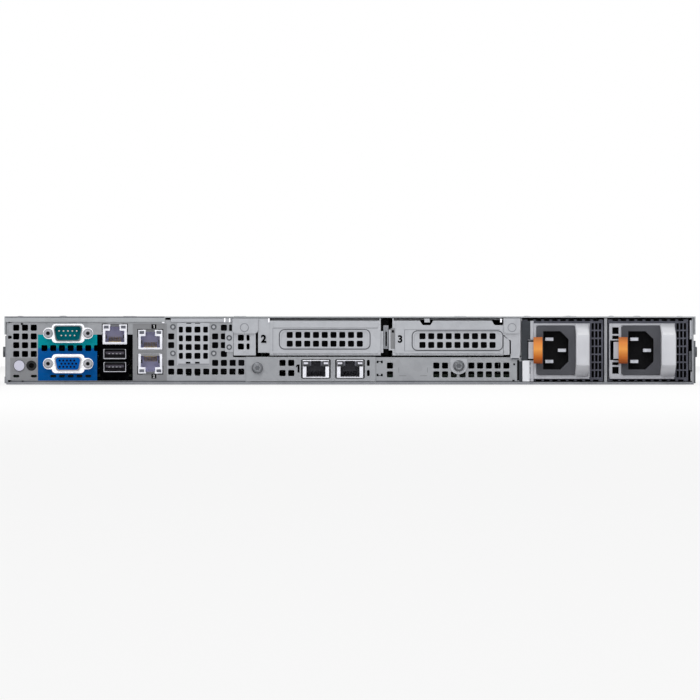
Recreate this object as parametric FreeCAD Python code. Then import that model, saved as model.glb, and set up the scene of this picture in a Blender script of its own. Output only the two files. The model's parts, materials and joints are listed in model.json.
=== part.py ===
import FreeCAD, Part
import math
import os

# One-unit rack server. The rear face looks along -Y, the front along +Y, +Z is up.
# Origin: centre of the tray's underside. Millimetres.

V = FreeCAD.Vector

# Rack and envelope
rack_opening = 450.0
rail_space = 8.0
rack_hole_outset = 7.55
rack_panel_outset = 16.3
rack_hole_edge = 5.525
body_height = 42.8
body_depth = 657.0
sheet = 1.0
cover_sheet = 0.8
cover_side_gap = 0.4
fit_gap = 0.3

body_width = rack_opening - 2 * rail_space
rack_hole_height = body_height - 2 * rack_hole_edge
left_edge = -body_width / 2
rear_y = -body_depth / 2
front_y = body_depth / 2
wall_outer = body_width / 2 - cover_sheet - cover_side_gap
wall_inner = wall_outer - sheet
cover_under = body_height - cover_sheet
wall_top = cover_under - fit_gap

# Tray and rail studs
lip_depth = 1.5
lip_height = 1.6
stud_z = 20.5
stud_neck_r = 2.4
stud_neck_length = 2.4
stud_head_r = 3.3
stud_head_length = 1.4
stud_from_rear = (45.0, 235.0, 425.0)

# System board
standoff_height = 4.0
standoff_r = 2.5
standoff_from_left = (20.0, 120.0)
standoff_from_bay = 12.0
standoff_from_wall = 15.0
standoff_behind_bay = (20.0, 120.0)
standoff_from_front = 8.0
board_thickness = 1.6
board_fan_gap = 18.0
board_under = sheet + standoff_height
board_top = board_under + board_thickness
board_edge_gap = 1.5
port_height = wall_top - sheet - board_top

# Square vents of the rear panel, places measured from the left edge and the underside
vent_size = 3.8
vent_half = 1.7
vent_pitch = 5.5
panel_vent_places = ((7.4, 19.2), (25.1, 22.9), (104.7, 24.7), (104.7, 13.6), (104.7, 8.1), (132.3, 13.6),
                     (132.3, 24.7), (137.8, 35.7), (137.8, 19.2))
panel_vent_columns = (3, 7, 1, 1, 9, 3, 2, 1, 1)
panel_vent_rows = (4, 1, 2, 1, 1, 1, 2, 1, 1)
low_slot_places = ((7.4, 5.3), (18.5, 5.3), (30.6, 5.3))
low_slot_columns = (1, 1, 5)
tall_slot_places = ((59.3, 6.2), (79.1, 6.1))
tall_slot_rows = (3, 4)
panel_seam = 0.2
edge_notch_width = 2.4
edge_notch_height = 1.8
edge_notch_z = 28.8

# Port places: from the left edge, and as shares of the clear height above the board
dsub_from_left = 40.0
serial_share = 0.75
vga_share = 0.191
management_from_left = 69.3
management_share = 0.733
usb_upper_share = 0.37
usb_lower_share = 0.126
lan_from_left = 91.6
lan_upper_share = 0.633
lan_lower_share = 0.188
id_button_from_left = 9.3
id_jack_from_left = 16.9
id_z = 11.9
serial_z = board_top + serial_share * port_height
vga_z = board_top + vga_share * port_height
management_z = board_top + management_share * port_height
usb_upper_z = board_top + usb_upper_share * port_height
usb_lower_z = board_top + usb_lower_share * port_height
lan_upper_z = board_top + lan_upper_share * port_height
lan_lower_z = board_top + lan_lower_share * port_height

# D-shaped ports
dsub_shell_width = 17.4
dsub_shell_height = 8.9
dsub_slant = 1.5
dsub_corner_r = 1.6
dsub_wall = 0.6
dsub_reach = 5.4
dsub_flange = 0.8
dsub_flange_width = 20.4
dsub_flange_height = 11.9
dsub_flange_corner_r = 2.4
dsub_bar_width = 31.4
dsub_bar_height = 7.0
dsub_bar_corner_r = 3.3
dsub_cutout_width = 18.0
dsub_cutout_height = 9.4
dsub_back_width = 30.0
dsub_back_height = 11.0
dsub_back_depth = 9.0
dsub_insert_gap = 0.1
serial_recess = 5.0
vga_recess = 0.3
vga_socket = 0.9
vga_socket_depth = 3.0
vga_pitch = 2.29
vga_row_gap = 1.98
vga_rows = 3
vga_columns = 5
serial_pitch = 2.77
serial_row_gap = 2.84
serial_pin_r = 0.5
serial_pin_length = 4.4
jack_screw_half_pitch = 12.495
jack_screw_flats = 4.8
jack_screw_length = 4.6
jack_screw_hole_r = 1.2
jack_screw_hole_depth = 4.0

# Network and USB ports
jack_width = 15.2
jack_height = 12.3
jack_proud = 0.6
jack_depth = 20.0
jack_cavity_width = 11.9
jack_cavity_height = 7.1
jack_cavity_depth = 13.0
jack_cavity_drop = 1.4
jack_notch_width = 6.0
jack_notch_height = 2.9
jack_lamp_width = 2.9
jack_lamp_height = 1.8
jack_lamp_depth = 0.4
jack_lamp_inset = 0.8
contact_width = 9.0
contact_thickness = 0.6
contact_length = 8.0
usb_width = 14.0
usb_height = 6.0
usb_depth = 17.0
usb_wall = 0.4
usb_cavity_depth = 11.0
usb_tongue_width = 11.6
usb_tongue_thickness = 1.8
usb_tongue_lift = 0.7
usb_tongue_front = 1.2
port_gap = 0.3

# Identity button and jack
id_button_r = 3.3
id_button_proud = 1.0
id_button_length = 9.0
id_jack_r = 2.9
id_jack_bore_r = 1.7
id_jack_bore_depth = 9.0
id_jack_proud = 0.5
id_jack_depth = 11.0

# Raised vent plate, riveted plate and rivets
plate_thickness = 0.8
vent_plate_from_left = 108.4
vent_plate_width = 20.4
vent_plate_drop = 29.9
vent_plate_height = 26.6
vent_plate_rows = 4
vent_plate_side = 1.1
vent_plate_foot = 4.0
vent_plate_gap = 1.7
vent_plate_left_hole = 2.6
vent_plate_right_hole = 3.1
riveted_plate_from_left = 138.6
riveted_plate_width = 5.1
riveted_plate_bottom = 20.5
riveted_plate_height = 12.9
rivet_r = 1.8
rivet_height = 0.5
rivet_dimple_r = 0.9
rivet_dimple = 0.3
rivet_lift = (7.5, 24.1)
rivet_side_gap = 2.6
plate_rivet_z = (23.5, 29.3)

# Power supplies and their bay
bay_wall = 0.8
divider_thickness = 1.9
psu_side_gap = 0.45
psu_wall_gap = 2.2
psu_width = 50.6
psu_floor_gap = 0.9
psu_top_gap = 0.9
psu_depth = 185.0
psu_case_recess = 3.5
psu_face_left = 0.7
psu_face_right = 42.0
psu_face_margin = 2.7
psu_face_proud = 0.6
psu_tooth_pitch = 5.15
psu_tooth_width = 3.2
psu_tooth_height = 1.1
psu_tooth_depth = 2.5
psu_teeth = 9
psu_grille_first = 43.9
psu_grille_pitch_x = 2.3
psu_grille_pitch_z = 5.0
psu_grille_columns = 3
psu_grille_rows = 7
psu_grille_width = 1.3
psu_grille_height = 3.9
psu_grille_depth = 2.5
psu_side_vent_left = 2.8
psu_side_vent_width = 3.8
psu_side_vents = ((-14.6, -10.5), (-9.2, -7.6), (7.1, 9.0), (10.3, 14.3))
psu_side_vent_depth = 3.0
bay_room = 8.0

# Mains inlet
inlet_left = 8.5
inlet_width = 24.4
inlet_height = 31.0
inlet_proud = 2.0
inlet_depth = 20.0
inlet_corner_r = 1.3
inlet_cavity_width = 15.8
inlet_cavity_height = 24.0
inlet_cavity_chamfer = 5.0
inlet_cavity_depth = 17.0
inlet_cavity_left = 4.2
blade_width = 5.0
blade_thickness = 2.0
blade_length = 13.0
blade_half_pitch = 7.0
blade_offset = 4.0

# Strap handle of a power supply
strap_left = 33.6
strap_width = 8.5
strap_thickness = 2.4
strap_reach = 26.0
strap_foot_inset = 0.3
strap_grip_half = 9.6
strap_foot_share = 1.4
strap_grip_share = 0.6

# Release latch of a power supply
latch_slot_left = 1.5
latch_slot_right = 7.6
latch_slot_half = 6.1
latch_slot_depth = 26.0
latch_arm_x = 3.4
latch_arm_thickness = 0.8
latch_arm_half = 5.3
latch_arm_reach = 4.2
latch_pivot_depth = 22.0
latch_eye_r = 1.5
latch_tab_left = 6.5
latch_tab_width = 5.6
latch_tab_half = 8.3
latch_tab_thickness = 3.0
latch_tab_bulge = 1.2

# Riser cages, measured from the left edge (cage 2) and from the bay wall (cage 3)
cage_sheet = 0.8
cage_depth = 128.0
cage_top_gap = 0.4
cage_frame_bottom = 18.3
cage_frame_drop = 1.8
riser_2_from_left = 143.9
riser_2_right_from_left = 236.3
riser_2_gap = 1.5
riser_2_vent_inset = 4.6
riser_2_slot_inset = 9.1
riser_2_vent_z = 23.9
riser_2_slot_width = 2.0
roof_setback = 10.0
digit_tab_from_left = 159.3
digit_tab_right_from_left = 166.6
digit_tab_bottom = 20.0
tab_from_left = 143.1
tab_width = 16.2
tab_height = 10.0
tab_corner_r = 2.5
tab_proud = 1.6
riser_3_left_from_bay = 80.7
riser_3_tab_from_bay = 11.0
riser_3_leg_from_bay = 6.0
riser_3_leg_bottom = 18.3
riser_3_neck_drop = 0.5
riser_3_neck_height = 3.5
riser_3_neck_run = 3.2
filler_thickness = 0.8
filler_bottom = 19.2
filler_drop = 2.1
filler_2_from_left = 166.8
filler_2_width = 69.5
filler_3_from_bay = 78.6
filler_3_width = 67.4
window_width = 56.3
window_height = 11.6
window_2_inset = 6.2
window_3_inset = 10.6
window_lift = 3.4
window_rim = 0.9
window_rim_height = 0.5
filler_vent_columns = 9
filler_vent_rows = 2
filler_opening_margin = 4.0
filler_notch_from_bay = (63.5, 18.3)
filler_notch_width = 8.4
filler_notch_depth = 2.6
filler_notch_slant = 1.7
centre_bracket_from_bay = 83.0
centre_bracket_width = 2.2
centre_bracket_bottom = 21.5
centre_bracket_drop = 7.5
centre_hook_drop = 4.0

# Slot 1 network card
lom_from_left = 151.6
lom_width = 81.5
lom_bottom = 1.9
lom_top = 17.4
lom_margin = 3.0
lom_plate = 1.0
lom_shelf_depth = 70.0
lom_shelf = 0.8
lom_shelf_inset = 1.0
lom_card_rear_gap = 2.0
lom_jack_from_left = (195.6, 217.0)
lom_jack_z = 9.8
lom_jack_width = 16.6
lom_jack_height = 11.2
lom_cutout_width = 18.4
lom_cutout_height = 12.0
lom_vent_from_left = 174.6
lom_vent_low = 7.2
lom_vent_pitch_z = 6.4
lom_side_vent_from_left = 228.5
lom_screw_from_left = 158.8
lom_screw_z = 10.5
screw_r = 3.5
screw_height = 3.4
screw_socket_r = 1.7
screw_socket_depth = 2.0

# Lower right panel and its screw tab
lower_panel_top = 17.2
lower_vent_first_from_left = 271.2
lower_vent_columns = 9
lower_vent_rows = 2
lower_vent_low = 6.4
lower_single_vent_from_left = 242.1
screw_tab_from_left = 285.3
screw_tab_half_width = 5.3
screw_tab_corner_r = 5.0
screw_tab_z = 11.8
screw_tab_top = 16.4

# Cards
card_thickness = 1.6
card_top = 36.0
card_2_from_left = 161.0
card_2_gap = 4.0
card_2_length = 44.0
card_3_from_bay = 4.0
card_3_from_rear = 22.0
card_3_length = 95.0

# Processors, heat sinks and memory
cpu_half_spacing = 98.0
cpu_fan_gap = 104.0
socket_width = 62.0
socket_length = 80.0
socket_height = 5.0
sink_width = 80.0
sink_length = 108.0
sink_base = 4.0
sink_fin = 0.8
sink_fins = 16
sink_top_gap = 3.0
memory_length = 133.35
memory_height = 29.8
memory_thickness = 1.3
memory_seat = 1.2
memory_chip_thickness = 3.2
memory_chip_height = 12.0
memory_chip_margin = 5.0
memory_slot_width = 5.6
memory_slot_height = 5.0
memory_slot_length = 142.0
memory_pitch = 7.6
memory_per_bank = 4
memory_from_cpu = 46.0
memory_play = 0.05
memory_end_play = 0.2

# Air shroud
shroud_sheet = 1.2
shroud_half_length = 62.0
shroud_side_gap = 1.6
shroud_top_gap = 1.2

# Fans
fan_count = 6
fan_pitch = 69.0
fan_depth = 28.0
fan_gap = 0.4
fan_wall = 1.5
fan_hub_r = 9.0
fan_motor_r = 8.6
fan_motor_thickness = 3.0
fan_strut = 2.4
fan_shaft_r = 1.5
fan_shaft_play = 0.1
fan_tip_gap = 0.8
fan_blades = 7
fan_blade_thickness = 1.2
fan_blade_angle = 38.0
fan_blade_chord = 15.0
fan_rotor_depth = 20.0
fan_bore_floor = 3.0
fan_shaft_end_gap = 1.0
fan_overlap = 1.0
fan_cage_sheet = 1.0
fan_zone_gap = 14.0

# Drive bays
bay_count = 4
bay_pitch = 106.0
bay_divider = 0.8
drive_bay_depth = 178.0
bay_top = 30.0
cage_plate = 0.8
strip_vent_columns = 18
strip_vent_rows = 1
strip_vent_width = 4.4
strip_vent_height = 4.6
strip_vent_pitch = 5.6
cover_front_setback = 12.0
backplane_thickness = 1.6
backplane_bottom = 5.0
backplane_top = 29.0
drive_plug_width = 42.0
drive_plug_height = 6.0
drive_plug_depth = 7.0
drive_plug_z = 10.0
backplane_foot_half = 4.0

# Drive carriers and disks
carrier_side_gap = 0.5
carrier_bottom = 1.7
carrier_height = 27.4
bezel_thickness = 10.0
bezel_setback = 1.0
carrier_rail = 1.1
carrier_rail_length = 150.0
disk_width = 101.6
disk_length = 147.0
disk_height = 25.4
disk_lid = 0.6
disk_lid_margin = 5.0
disk_side_play = 0.1
disk_front_gap = 1.0
bezel_cell = 4.2
bezel_cell_pitch = 5.4
bezel_cell_rows = 4
bezel_cell_columns = 13
bezel_cell_depth = 3.0
handle_thickness = 3.6
handle_low = 7.0
handle_high = 23.6
handle_clear = 0.5
handle_eye_r = 1.9
handle_pin_r = 1.3
handle_pin_length = 2.0
handle_pin_play = 0.1
handle_pivot_inset = 6.0
handle_free_inset = 17.0
handle_cell_rows = 2
handle_cell_columns = 10
lug_height = 2.4
lug_half = 3.4
button_width = 8.0
button_height = 9.0
button_inset = 11.0
button_proud = 2.6
button_seat = 4.0
button_travel_room = 2.5
blank_body_length = 60.0
blank_body_inset = 1.0

# Rack ears and control panels
ear_thickness = 2.0
ear_setback = 6.0
ear_leg = 1.2
ear_leg_length = 62.0
ear_leg_low = 3.0
ear_leg_gap = 1.4
ear_margin = 0.4
rack_slot_r = 3.4
rack_slot_length = 10.4
panel_width = 8.4
panel_depth = 10.0
panel_low = 2.0
panel_drop = 2.2
panel_inset = 0.4
power_button_r = 2.7
power_button_proud = 0.9
power_button_length = 5.0
power_button_drop = 7.6
power_travel_room = 1.5
front_usb_z = 15.0
front_usb_width = 5.4
front_usb_height = 13.0
front_usb_depth = 8.0
front_tongue_width = 1.8
front_tongue_height = 11.0
front_tongue_shift = 0.6
front_tongue_setback = 1.0
lamp_r = 0.9
lamp_depth = 0.5
lamp_pitch = 6.0
lamp_count = 4

# Top cover and its latch
cover_flange_height = 11.4
cover_rear_overhang = 1.2
cover_lip_right_from_left = 101.0
cover_lip_height = 3.5
cover_notch_width = 7.0
cover_notch_height = 3.0
pocket_half_width = 32.0
pocket_length = 24.0
pocket_depth = 7.0
pocket_fan_gap = 6.0
pocket_wall = 0.8
lever_half_width = 28.0
lever_thickness = 2.2
lever_sink = 0.5
lever_pivot_in = 3.6
lever_pin_r = 1.3
lever_pin_play = 0.1
lever_eye_r = 2.0
lever_hook_drop = 1.6
lever_hook_length = 2.0
lever_tip_gap = 0.6
lever_pin_reach = 2.0
lever_pin_drop = 1.0

# Derived places at the rear
divider_run = divider_thickness + 2 * psu_side_gap
bay_left = wall_inner - psu_wall_gap - 2 * psu_width - divider_run - psu_side_gap
bay_left_wall = bay_left - bay_wall
bay_front_y = rear_y + psu_depth + bay_room
psu_1_left = bay_left + psu_side_gap
psu_2_left = wall_inner - psu_wall_gap - psu_width
psu_bottom = sheet + psu_floor_gap
psu_top = cover_under - psu_top_gap
psu_mid = (psu_bottom + psu_top) / 2
psu_face_bottom = psu_bottom + psu_face_margin
psu_face_top = psu_top - psu_face_margin
psu_case_rear = rear_y + psu_case_recess
psu_face_rear = rear_y - psu_face_proud
inlet_rear = rear_y - inlet_proud
inlet_bottom = psu_mid - inlet_height / 2
strap_foot_low = psu_face_bottom + strap_foot_inset
strap_foot_high = psu_face_top - strap_foot_inset
strap_grip_low = psu_mid - strap_grip_half
strap_grip_high = psu_mid + strap_grip_half
latch_slot_low = psu_mid - latch_slot_half
latch_slot_high = psu_mid + latch_slot_half
latch_arm_low = psu_mid - latch_arm_half
latch_arm_high = psu_mid + latch_arm_half
latch_tab_low = psu_mid - latch_tab_half
latch_tab_high = psu_mid + latch_tab_half
latch_pivot_y = rear_y + latch_pivot_depth
riser_left = left_edge + riser_2_from_left
riser_right = left_edge + riser_2_right_from_left
cage_frame_top = cover_under - cage_frame_drop
filler_top = cover_under - filler_drop
tab_bottom = cover_under - tab_height
riser_3_neck_high = tab_bottom - riser_3_neck_drop
riser_3_neck_low = riser_3_neck_high - riser_3_neck_height
centre_bracket_top = cover_under - centre_bracket_drop
vent_plate_bottom = cover_under - vent_plate_drop

# Derived places inside and at the front
backplane_y = front_y - drive_bay_depth - backplane_thickness
fan_front = backplane_y - fan_zone_gap
fan_rear = fan_front - fan_depth
fan_size = cover_under - sheet - 2 * fan_gap
fan_centre_z = sheet + fan_gap + fan_size / 2
fan_bore_r = fan_size / 2 - fan_wall
fan_blade_r = fan_bore_r - fan_tip_gap
cpu_y = fan_rear - cpu_fan_gap
board_front_y = fan_rear - board_fan_gap
sink_top = cover_under - sink_top_gap
shroud_top = cover_under - shroud_top_gap
bezel_rear = front_y - bezel_setback
bezel_front = bezel_rear + bezel_thickness
carrier_top = carrier_bottom + carrier_height
handle_y = bezel_front + handle_clear + handle_thickness / 2
cover_front = front_y - cover_front_setback
cover_flange_bottom = body_height - cover_flange_height
cover_lip_bottom = body_height - cover_lip_height
ear_y = front_y - ear_setback
ear_leg_high = cover_flange_bottom - ear_leg_gap
ear_low = ear_margin
ear_high = body_height - ear_margin
panel_high = body_height - panel_drop
power_button_z = panel_high - power_button_drop
pocket_rear_y = fan_rear - pocket_fan_gap - pocket_length
lever_length = pocket_length - 2 * pocket_wall - lever_pivot_in - lever_tip_gap


def box(x0, x1, y0, y1, z0, z1):
    return Part.makeBox(x1 - x0, y1 - y0, z1 - z0, V(x0, y0, z0))


def rod(start, direction, radius, length):
    return Part.makeCylinder(radius, length, V(*start), V(*direction))


def prism_y(points, y0, y1):
    corners = [V(x, y0, z) for x, z in points]
    face = Part.Face(Part.makePolygon(corners + corners[:1]))
    return face.extrude(V(0, y1 - y0, 0))


def prism_x(points, x0, x1):
    corners = [V(x0, y, z) for y, z in points]
    face = Part.Face(Part.makePolygon(corners + corners[:1]))
    return face.extrude(V(x1 - x0, 0, 0))


def prism_z(points, z0, z1):
    corners = [V(x, y, z0) for x, y in points]
    face = Part.Face(Part.makePolygon(corners + corners[:1]))
    return face.extrude(V(0, 0, z1 - z0))


def join(shapes):
    return shapes[0].fuse(shapes[1:]).removeSplitter()


def along(edge, axis):
    a, b = edge.Vertexes[0].Point, edge.Vertexes[-1].Point
    return abs((b - a).normalize().dot(axis)) > 0.999


def round_edges(shape, axis, radius, keep=lambda point: True):
    edges = [e for e in shape.Edges if along(e, axis) and keep(e.CenterOfMass)]
    return shape.makeFillet(radius, edges)


def save(node, shapes):
    solids = []
    for shape in shapes:
        solids.extend(shape.Solids)
    whole = solids[0] if len(solids) == 1 else Part.makeCompound(solids)
    whole.exportStep("parts/%s.step" % node)


def grid(x, z, columns, rows, width, height, y0, y1, pitch_x=vent_pitch, pitch_z=vent_pitch):
    holes = []
    for column in range(columns):
        for row in range(rows):
            cx = x + column * pitch_x
            cz = z + row * pitch_z
            holes.append(box(cx - width / 2, cx + width / 2, y0, y1, cz - height / 2, cz + height / 2))
    return holes


def window(cx, cz, width, height, y0, y1):
    return box(cx - width / 2, cx + width / 2, y0, y1, cz - height / 2, cz + height / 2)


# Tray: floor, side walls, rear lip and board standoffs in one folded sheet
def chassis_tray():
    pieces = [box(-wall_outer, wall_outer, rear_y - lip_depth, front_y, 0, sheet)]
    pieces.append(box(-wall_outer, wall_outer, rear_y - lip_depth, rear_y, 0, lip_height))
    for side in (-1, 1):
        edges = sorted((side * wall_inner, side * wall_outer))
        pieces.append(box(edges[0], edges[1], rear_y, front_y, 0, wall_top))
    front = board_front_y - standoff_from_front
    rows = [bay_front_y - d for d in standoff_behind_bay] + [front]
    columns = [left_edge + d for d in standoff_from_left] + [bay_left_wall - standoff_from_bay]
    places = [(x, y) for x in columns for y in rows] + [(wall_inner - standoff_from_wall, front)]
    for x, y in places:
        pieces.append(rod((x, y, sheet), (0, 0, 1), standoff_r, standoff_height))
    return join(pieces)


def rail_stud(side, y):
    neck = rod((side * wall_outer, y, stud_z), (side, 0, 0), stud_neck_r, stud_neck_length)
    head_x = side * (wall_outer + stud_neck_length)
    head = rod((head_x, y, stud_z), (side, 0, 0), stud_head_r, stud_head_length)
    return neck.fuse(head)


def rail_studs():
    return [rail_stud(side, rear_y + d) for side in (-1, 1) for d in stud_from_rear]


# Rear panel in two sheets: full height at the ports, low below the riser cages
def port_cutouts(y0, y1):
    dsub_x = left_edge + dsub_from_left
    lan_x = left_edge + lan_from_left
    port_x = left_edge + management_from_left
    cuts = []
    for z in (serial_z, vga_z):
        cuts.append(window(dsub_x, z, dsub_cutout_width, dsub_cutout_height, y0, y1))
    clear = 2 * port_gap
    cuts.append(window(port_x, management_z, jack_width + clear, jack_height + clear, y0, y1))
    for z in (lan_upper_z, lan_lower_z):
        cuts.append(window(lan_x, z, jack_width + clear, jack_height + clear, y0, y1))
    for z in (usb_upper_z, usb_lower_z):
        cuts.append(window(port_x, z, usb_width + clear, usb_height + clear, y0, y1))
    start = y0
    length = y1 - y0
    cuts.append(rod((left_edge + id_button_from_left, start, id_z), (0, 1, 0), id_button_r + fit_gap, length))
    cuts.append(rod((left_edge + id_jack_from_left, start, id_z), (0, 1, 0), id_jack_r + port_gap, length))
    return cuts


def panel_vents(y0, y1):
    cuts = []
    for (x, z), columns, rows in zip(panel_vent_places, panel_vent_columns, panel_vent_rows):
        cuts += grid(left_edge + x, z, columns, rows, vent_size, vent_size, y0, y1)
    for (x, z), columns in zip(low_slot_places, low_slot_columns):
        cuts += grid(left_edge + x, z, columns, 1, vent_size, vent_half, y0, y1)
    for (x, z), rows in zip(tall_slot_places, tall_slot_rows):
        cuts += grid(left_edge + x, z, 1, rows, vent_half, vent_size, y0, y1)
    for x, columns in ((lower_single_vent_from_left, 1), (lower_vent_first_from_left, lower_vent_columns)):
        cuts += grid(left_edge + x, lower_vent_low, columns, lower_vent_rows, vent_size, vent_size, y0, y1)
    return cuts


def rear_panel():
    y0, y1 = rear_y, rear_y + sheet
    seam_x = riser_left - port_gap
    port_sheet = box(-wall_inner, seam_x, y0, y1, sheet, wall_top - sheet)
    lower_sheet = box(seam_x + panel_seam, bay_left_wall, y0, y1, sheet, lower_panel_top)
    cuts = port_cutouts(y0, y1) + panel_vents(y0, y1)
    lom_x = left_edge + lom_from_left
    lom_x0, lom_x1 = lom_x + lom_margin, lom_x + lom_width - lom_margin
    cuts.append(box(lom_x0, lom_x1, y0, y1, sheet, lom_top - lom_margin / 2))
    plate_x = left_edge + vent_plate_from_left
    plate_top = vent_plate_bottom + vent_plate_height
    cuts.append(box(plate_x + vent_plate_side, plate_x + vent_plate_width - vent_plate_side, y0, y1,
                    vent_plate_bottom + vent_plate_foot, plate_top - vent_plate_foot / 2))
    for z in (sheet, edge_notch_z, wall_top - sheet - edge_notch_height):
        cuts.append(box(-wall_inner, -wall_inner + edge_notch_width, y0, y1, z, z + edge_notch_height))
    return [port_sheet.cut(cuts), lower_sheet.cut(cuts)]


# Raised plates riveted to the rear panel
def vent_plate():
    y0, y1 = rear_y - plate_thickness, rear_y
    x = left_edge + vent_plate_from_left
    plate = box(x, x + vent_plate_width, y0, y1, vent_plate_bottom, vent_plate_bottom + vent_plate_height)
    first_z = vent_plate_bottom + vent_plate_foot + vent_size / 2
    hole_x = x + vent_plate_side
    holes = []
    for width in (vent_plate_left_hole, vent_size, vent_size, vent_plate_right_hole):
        holes += grid(hole_x + width / 2, first_z, 1, vent_plate_rows, width, vent_size, y0, y1)
        hole_x += width + vent_plate_gap
    return plate.cut(holes)


def riveted_plate():
    x = left_edge + riveted_plate_from_left
    top = riveted_plate_bottom + riveted_plate_height
    return box(x, x + riveted_plate_width, rear_y - plate_thickness, rear_y, riveted_plate_bottom, top)


def rivet(x, z, seat_y):
    head = rod((x, seat_y - rivet_height, z), (0, 1, 0), rivet_r, rivet_height)
    return head.cut(rod((x, seat_y - rivet_height, z), (0, 1, 0), rivet_dimple_r, rivet_dimple))


def rear_rivets():
    left = left_edge + vent_plate_from_left
    rivets = []
    for lift in rivet_lift:
        z = vent_plate_bottom + lift
        rivets.append(rivet(left - rivet_side_gap, z, rear_y))
        rivets.append(rivet(left + vent_plate_width + rivet_side_gap, z, rear_y))
    plate_x = left_edge + riveted_plate_from_left + riveted_plate_width / 2
    for z in plate_rivet_z:
        rivets.append(rivet(plate_x, z, rear_y - plate_thickness))
    return rivets


# D-shaped ports
def d_prism(cx, cz, width, height, y0, y1):
    half, tall = width / 2, height / 2
    points = [(cx - half, cz + tall), (cx + half, cz + tall)]
    points += [(cx + half - dsub_slant, cz - tall), (cx - half + dsub_slant, cz - tall)]
    return round_edges(prism_y(points, y0, y1), V(0, 1, 0), dsub_corner_r)


def d_bore(cx, cz, y0, y1):
    return d_prism(cx, cz, dsub_shell_width - 2 * dsub_wall, dsub_shell_height - 2 * dsub_wall, y0, y1)


def dsub_shell(cz):
    cx = left_edge + dsub_from_left
    seat = rear_y - dsub_flange
    mouth = seat - dsub_reach
    middle = window(cx, cz, dsub_flange_width, dsub_flange_height, seat, rear_y)
    middle = round_edges(middle, V(0, 1, 0), dsub_flange_corner_r)
    bar = window(cx, cz, dsub_bar_width, dsub_bar_height, seat, rear_y)
    bar = round_edges(bar, V(0, 1, 0), dsub_bar_corner_r)
    tube = d_prism(cx, cz, dsub_shell_width, dsub_shell_height, mouth, seat)
    return join([middle, bar, tube]).cut(d_bore(cx, cz, mouth, rear_y))


def dsub_insert(cz, recess):
    cx = left_edge + dsub_from_left
    mouth = rear_y - dsub_flange - dsub_reach
    width = dsub_shell_width - 2 * dsub_wall - 2 * dsub_insert_gap
    height = dsub_shell_height - 2 * dsub_wall - 2 * dsub_insert_gap
    core = d_prism(cx, cz, width, height, mouth + recess, rear_y + sheet)
    back = window(cx, cz, dsub_back_width, dsub_back_height, rear_y + sheet, rear_y + sheet + dsub_back_depth)
    return core.fuse(back)


def vga_insert():
    insert = dsub_insert(vga_z, vga_recess)
    face = rear_y - dsub_flange - dsub_reach + vga_recess
    sockets = []
    for row in range(vga_rows):
        shift = vga_pitch / 4 if row == 1 else -vga_pitch / 4
        x = left_edge + dsub_from_left - 2 * vga_pitch + shift
        z = vga_z + (row - 1) * vga_row_gap
        sockets += grid(x, z, vga_columns, 1, vga_socket, vga_socket, face, face + vga_socket_depth,
                        vga_pitch)
    return insert.cut(sockets)


def serial_pins():
    cx = left_edge + dsub_from_left
    seat = rear_y - dsub_flange - dsub_reach + serial_recess
    pins = []
    for count, z in ((5, serial_z + serial_row_gap / 2), (4, serial_z - serial_row_gap / 2)):
        for i in range(count):
            x = cx + (i - (count - 1) / 2) * serial_pitch
            pins.append(rod((x, seat - serial_pin_length, z), (0, 1, 0), serial_pin_r, serial_pin_length))
    return pins


def jack_screw(x, z):
    seat = rear_y - dsub_flange
    radius = jack_screw_flats / math.sqrt(3)
    points = []
    for i in range(6):
        angle = math.radians(60 * i)
        points.append((x + radius * math.cos(angle), z + radius * math.sin(angle)))
    screw = prism_y(points, seat - jack_screw_length, seat)
    bore = rod((x, seat - jack_screw_length, z), (0, 1, 0), jack_screw_hole_r, jack_screw_hole_depth)
    return screw.cut(bore)


def jack_screws():
    cx = left_edge + dsub_from_left
    places = [(cx + s * jack_screw_half_pitch, z) for s in (-1, 1) for z in (serial_z, vga_z)]
    return [jack_screw(x, z) for x, z in places]


# Network jacks: a snout through the panel in front of a block that stands on the board
def jack_cavity(cx, cz, flip, mouth):
    floor = cz + flip * (-jack_cavity_height / 2 - jack_cavity_drop)
    roof = floor + flip * jack_cavity_height
    low, high = sorted((floor, roof))
    half = jack_cavity_width / 2
    cuts = [box(cx - half, cx + half, mouth, mouth + jack_cavity_depth, low, high)]
    tip = roof + flip * jack_notch_height
    low, high = sorted((roof, tip))
    half = jack_notch_width / 2
    cuts.append(box(cx - half, cx + half, mouth, mouth + jack_cavity_depth, low, high))
    return cuts


def jack_lamps(cx, cz, flip, mouth, width, height):
    cuts = []
    lamp_z = cz + flip * (height / 2 - jack_lamp_inset - jack_lamp_height / 2)
    for side in (-1, 1):
        lamp_x = cx + side * (width / 2 - jack_lamp_inset - jack_lamp_width / 2)
        cuts.append(window(lamp_x, lamp_z, jack_lamp_width, jack_lamp_height, mouth, mouth + jack_lamp_depth))
    return cuts


def jack_contacts(cx, cz, flip, mouth):
    floor = cz + flip * (-jack_cavity_height / 2 - jack_cavity_drop)
    low, high = sorted((floor, floor + flip * contact_thickness))
    back = mouth + jack_cavity_depth
    return box(cx - contact_width / 2, cx + contact_width / 2, back - contact_length, back, low, high)


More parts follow.
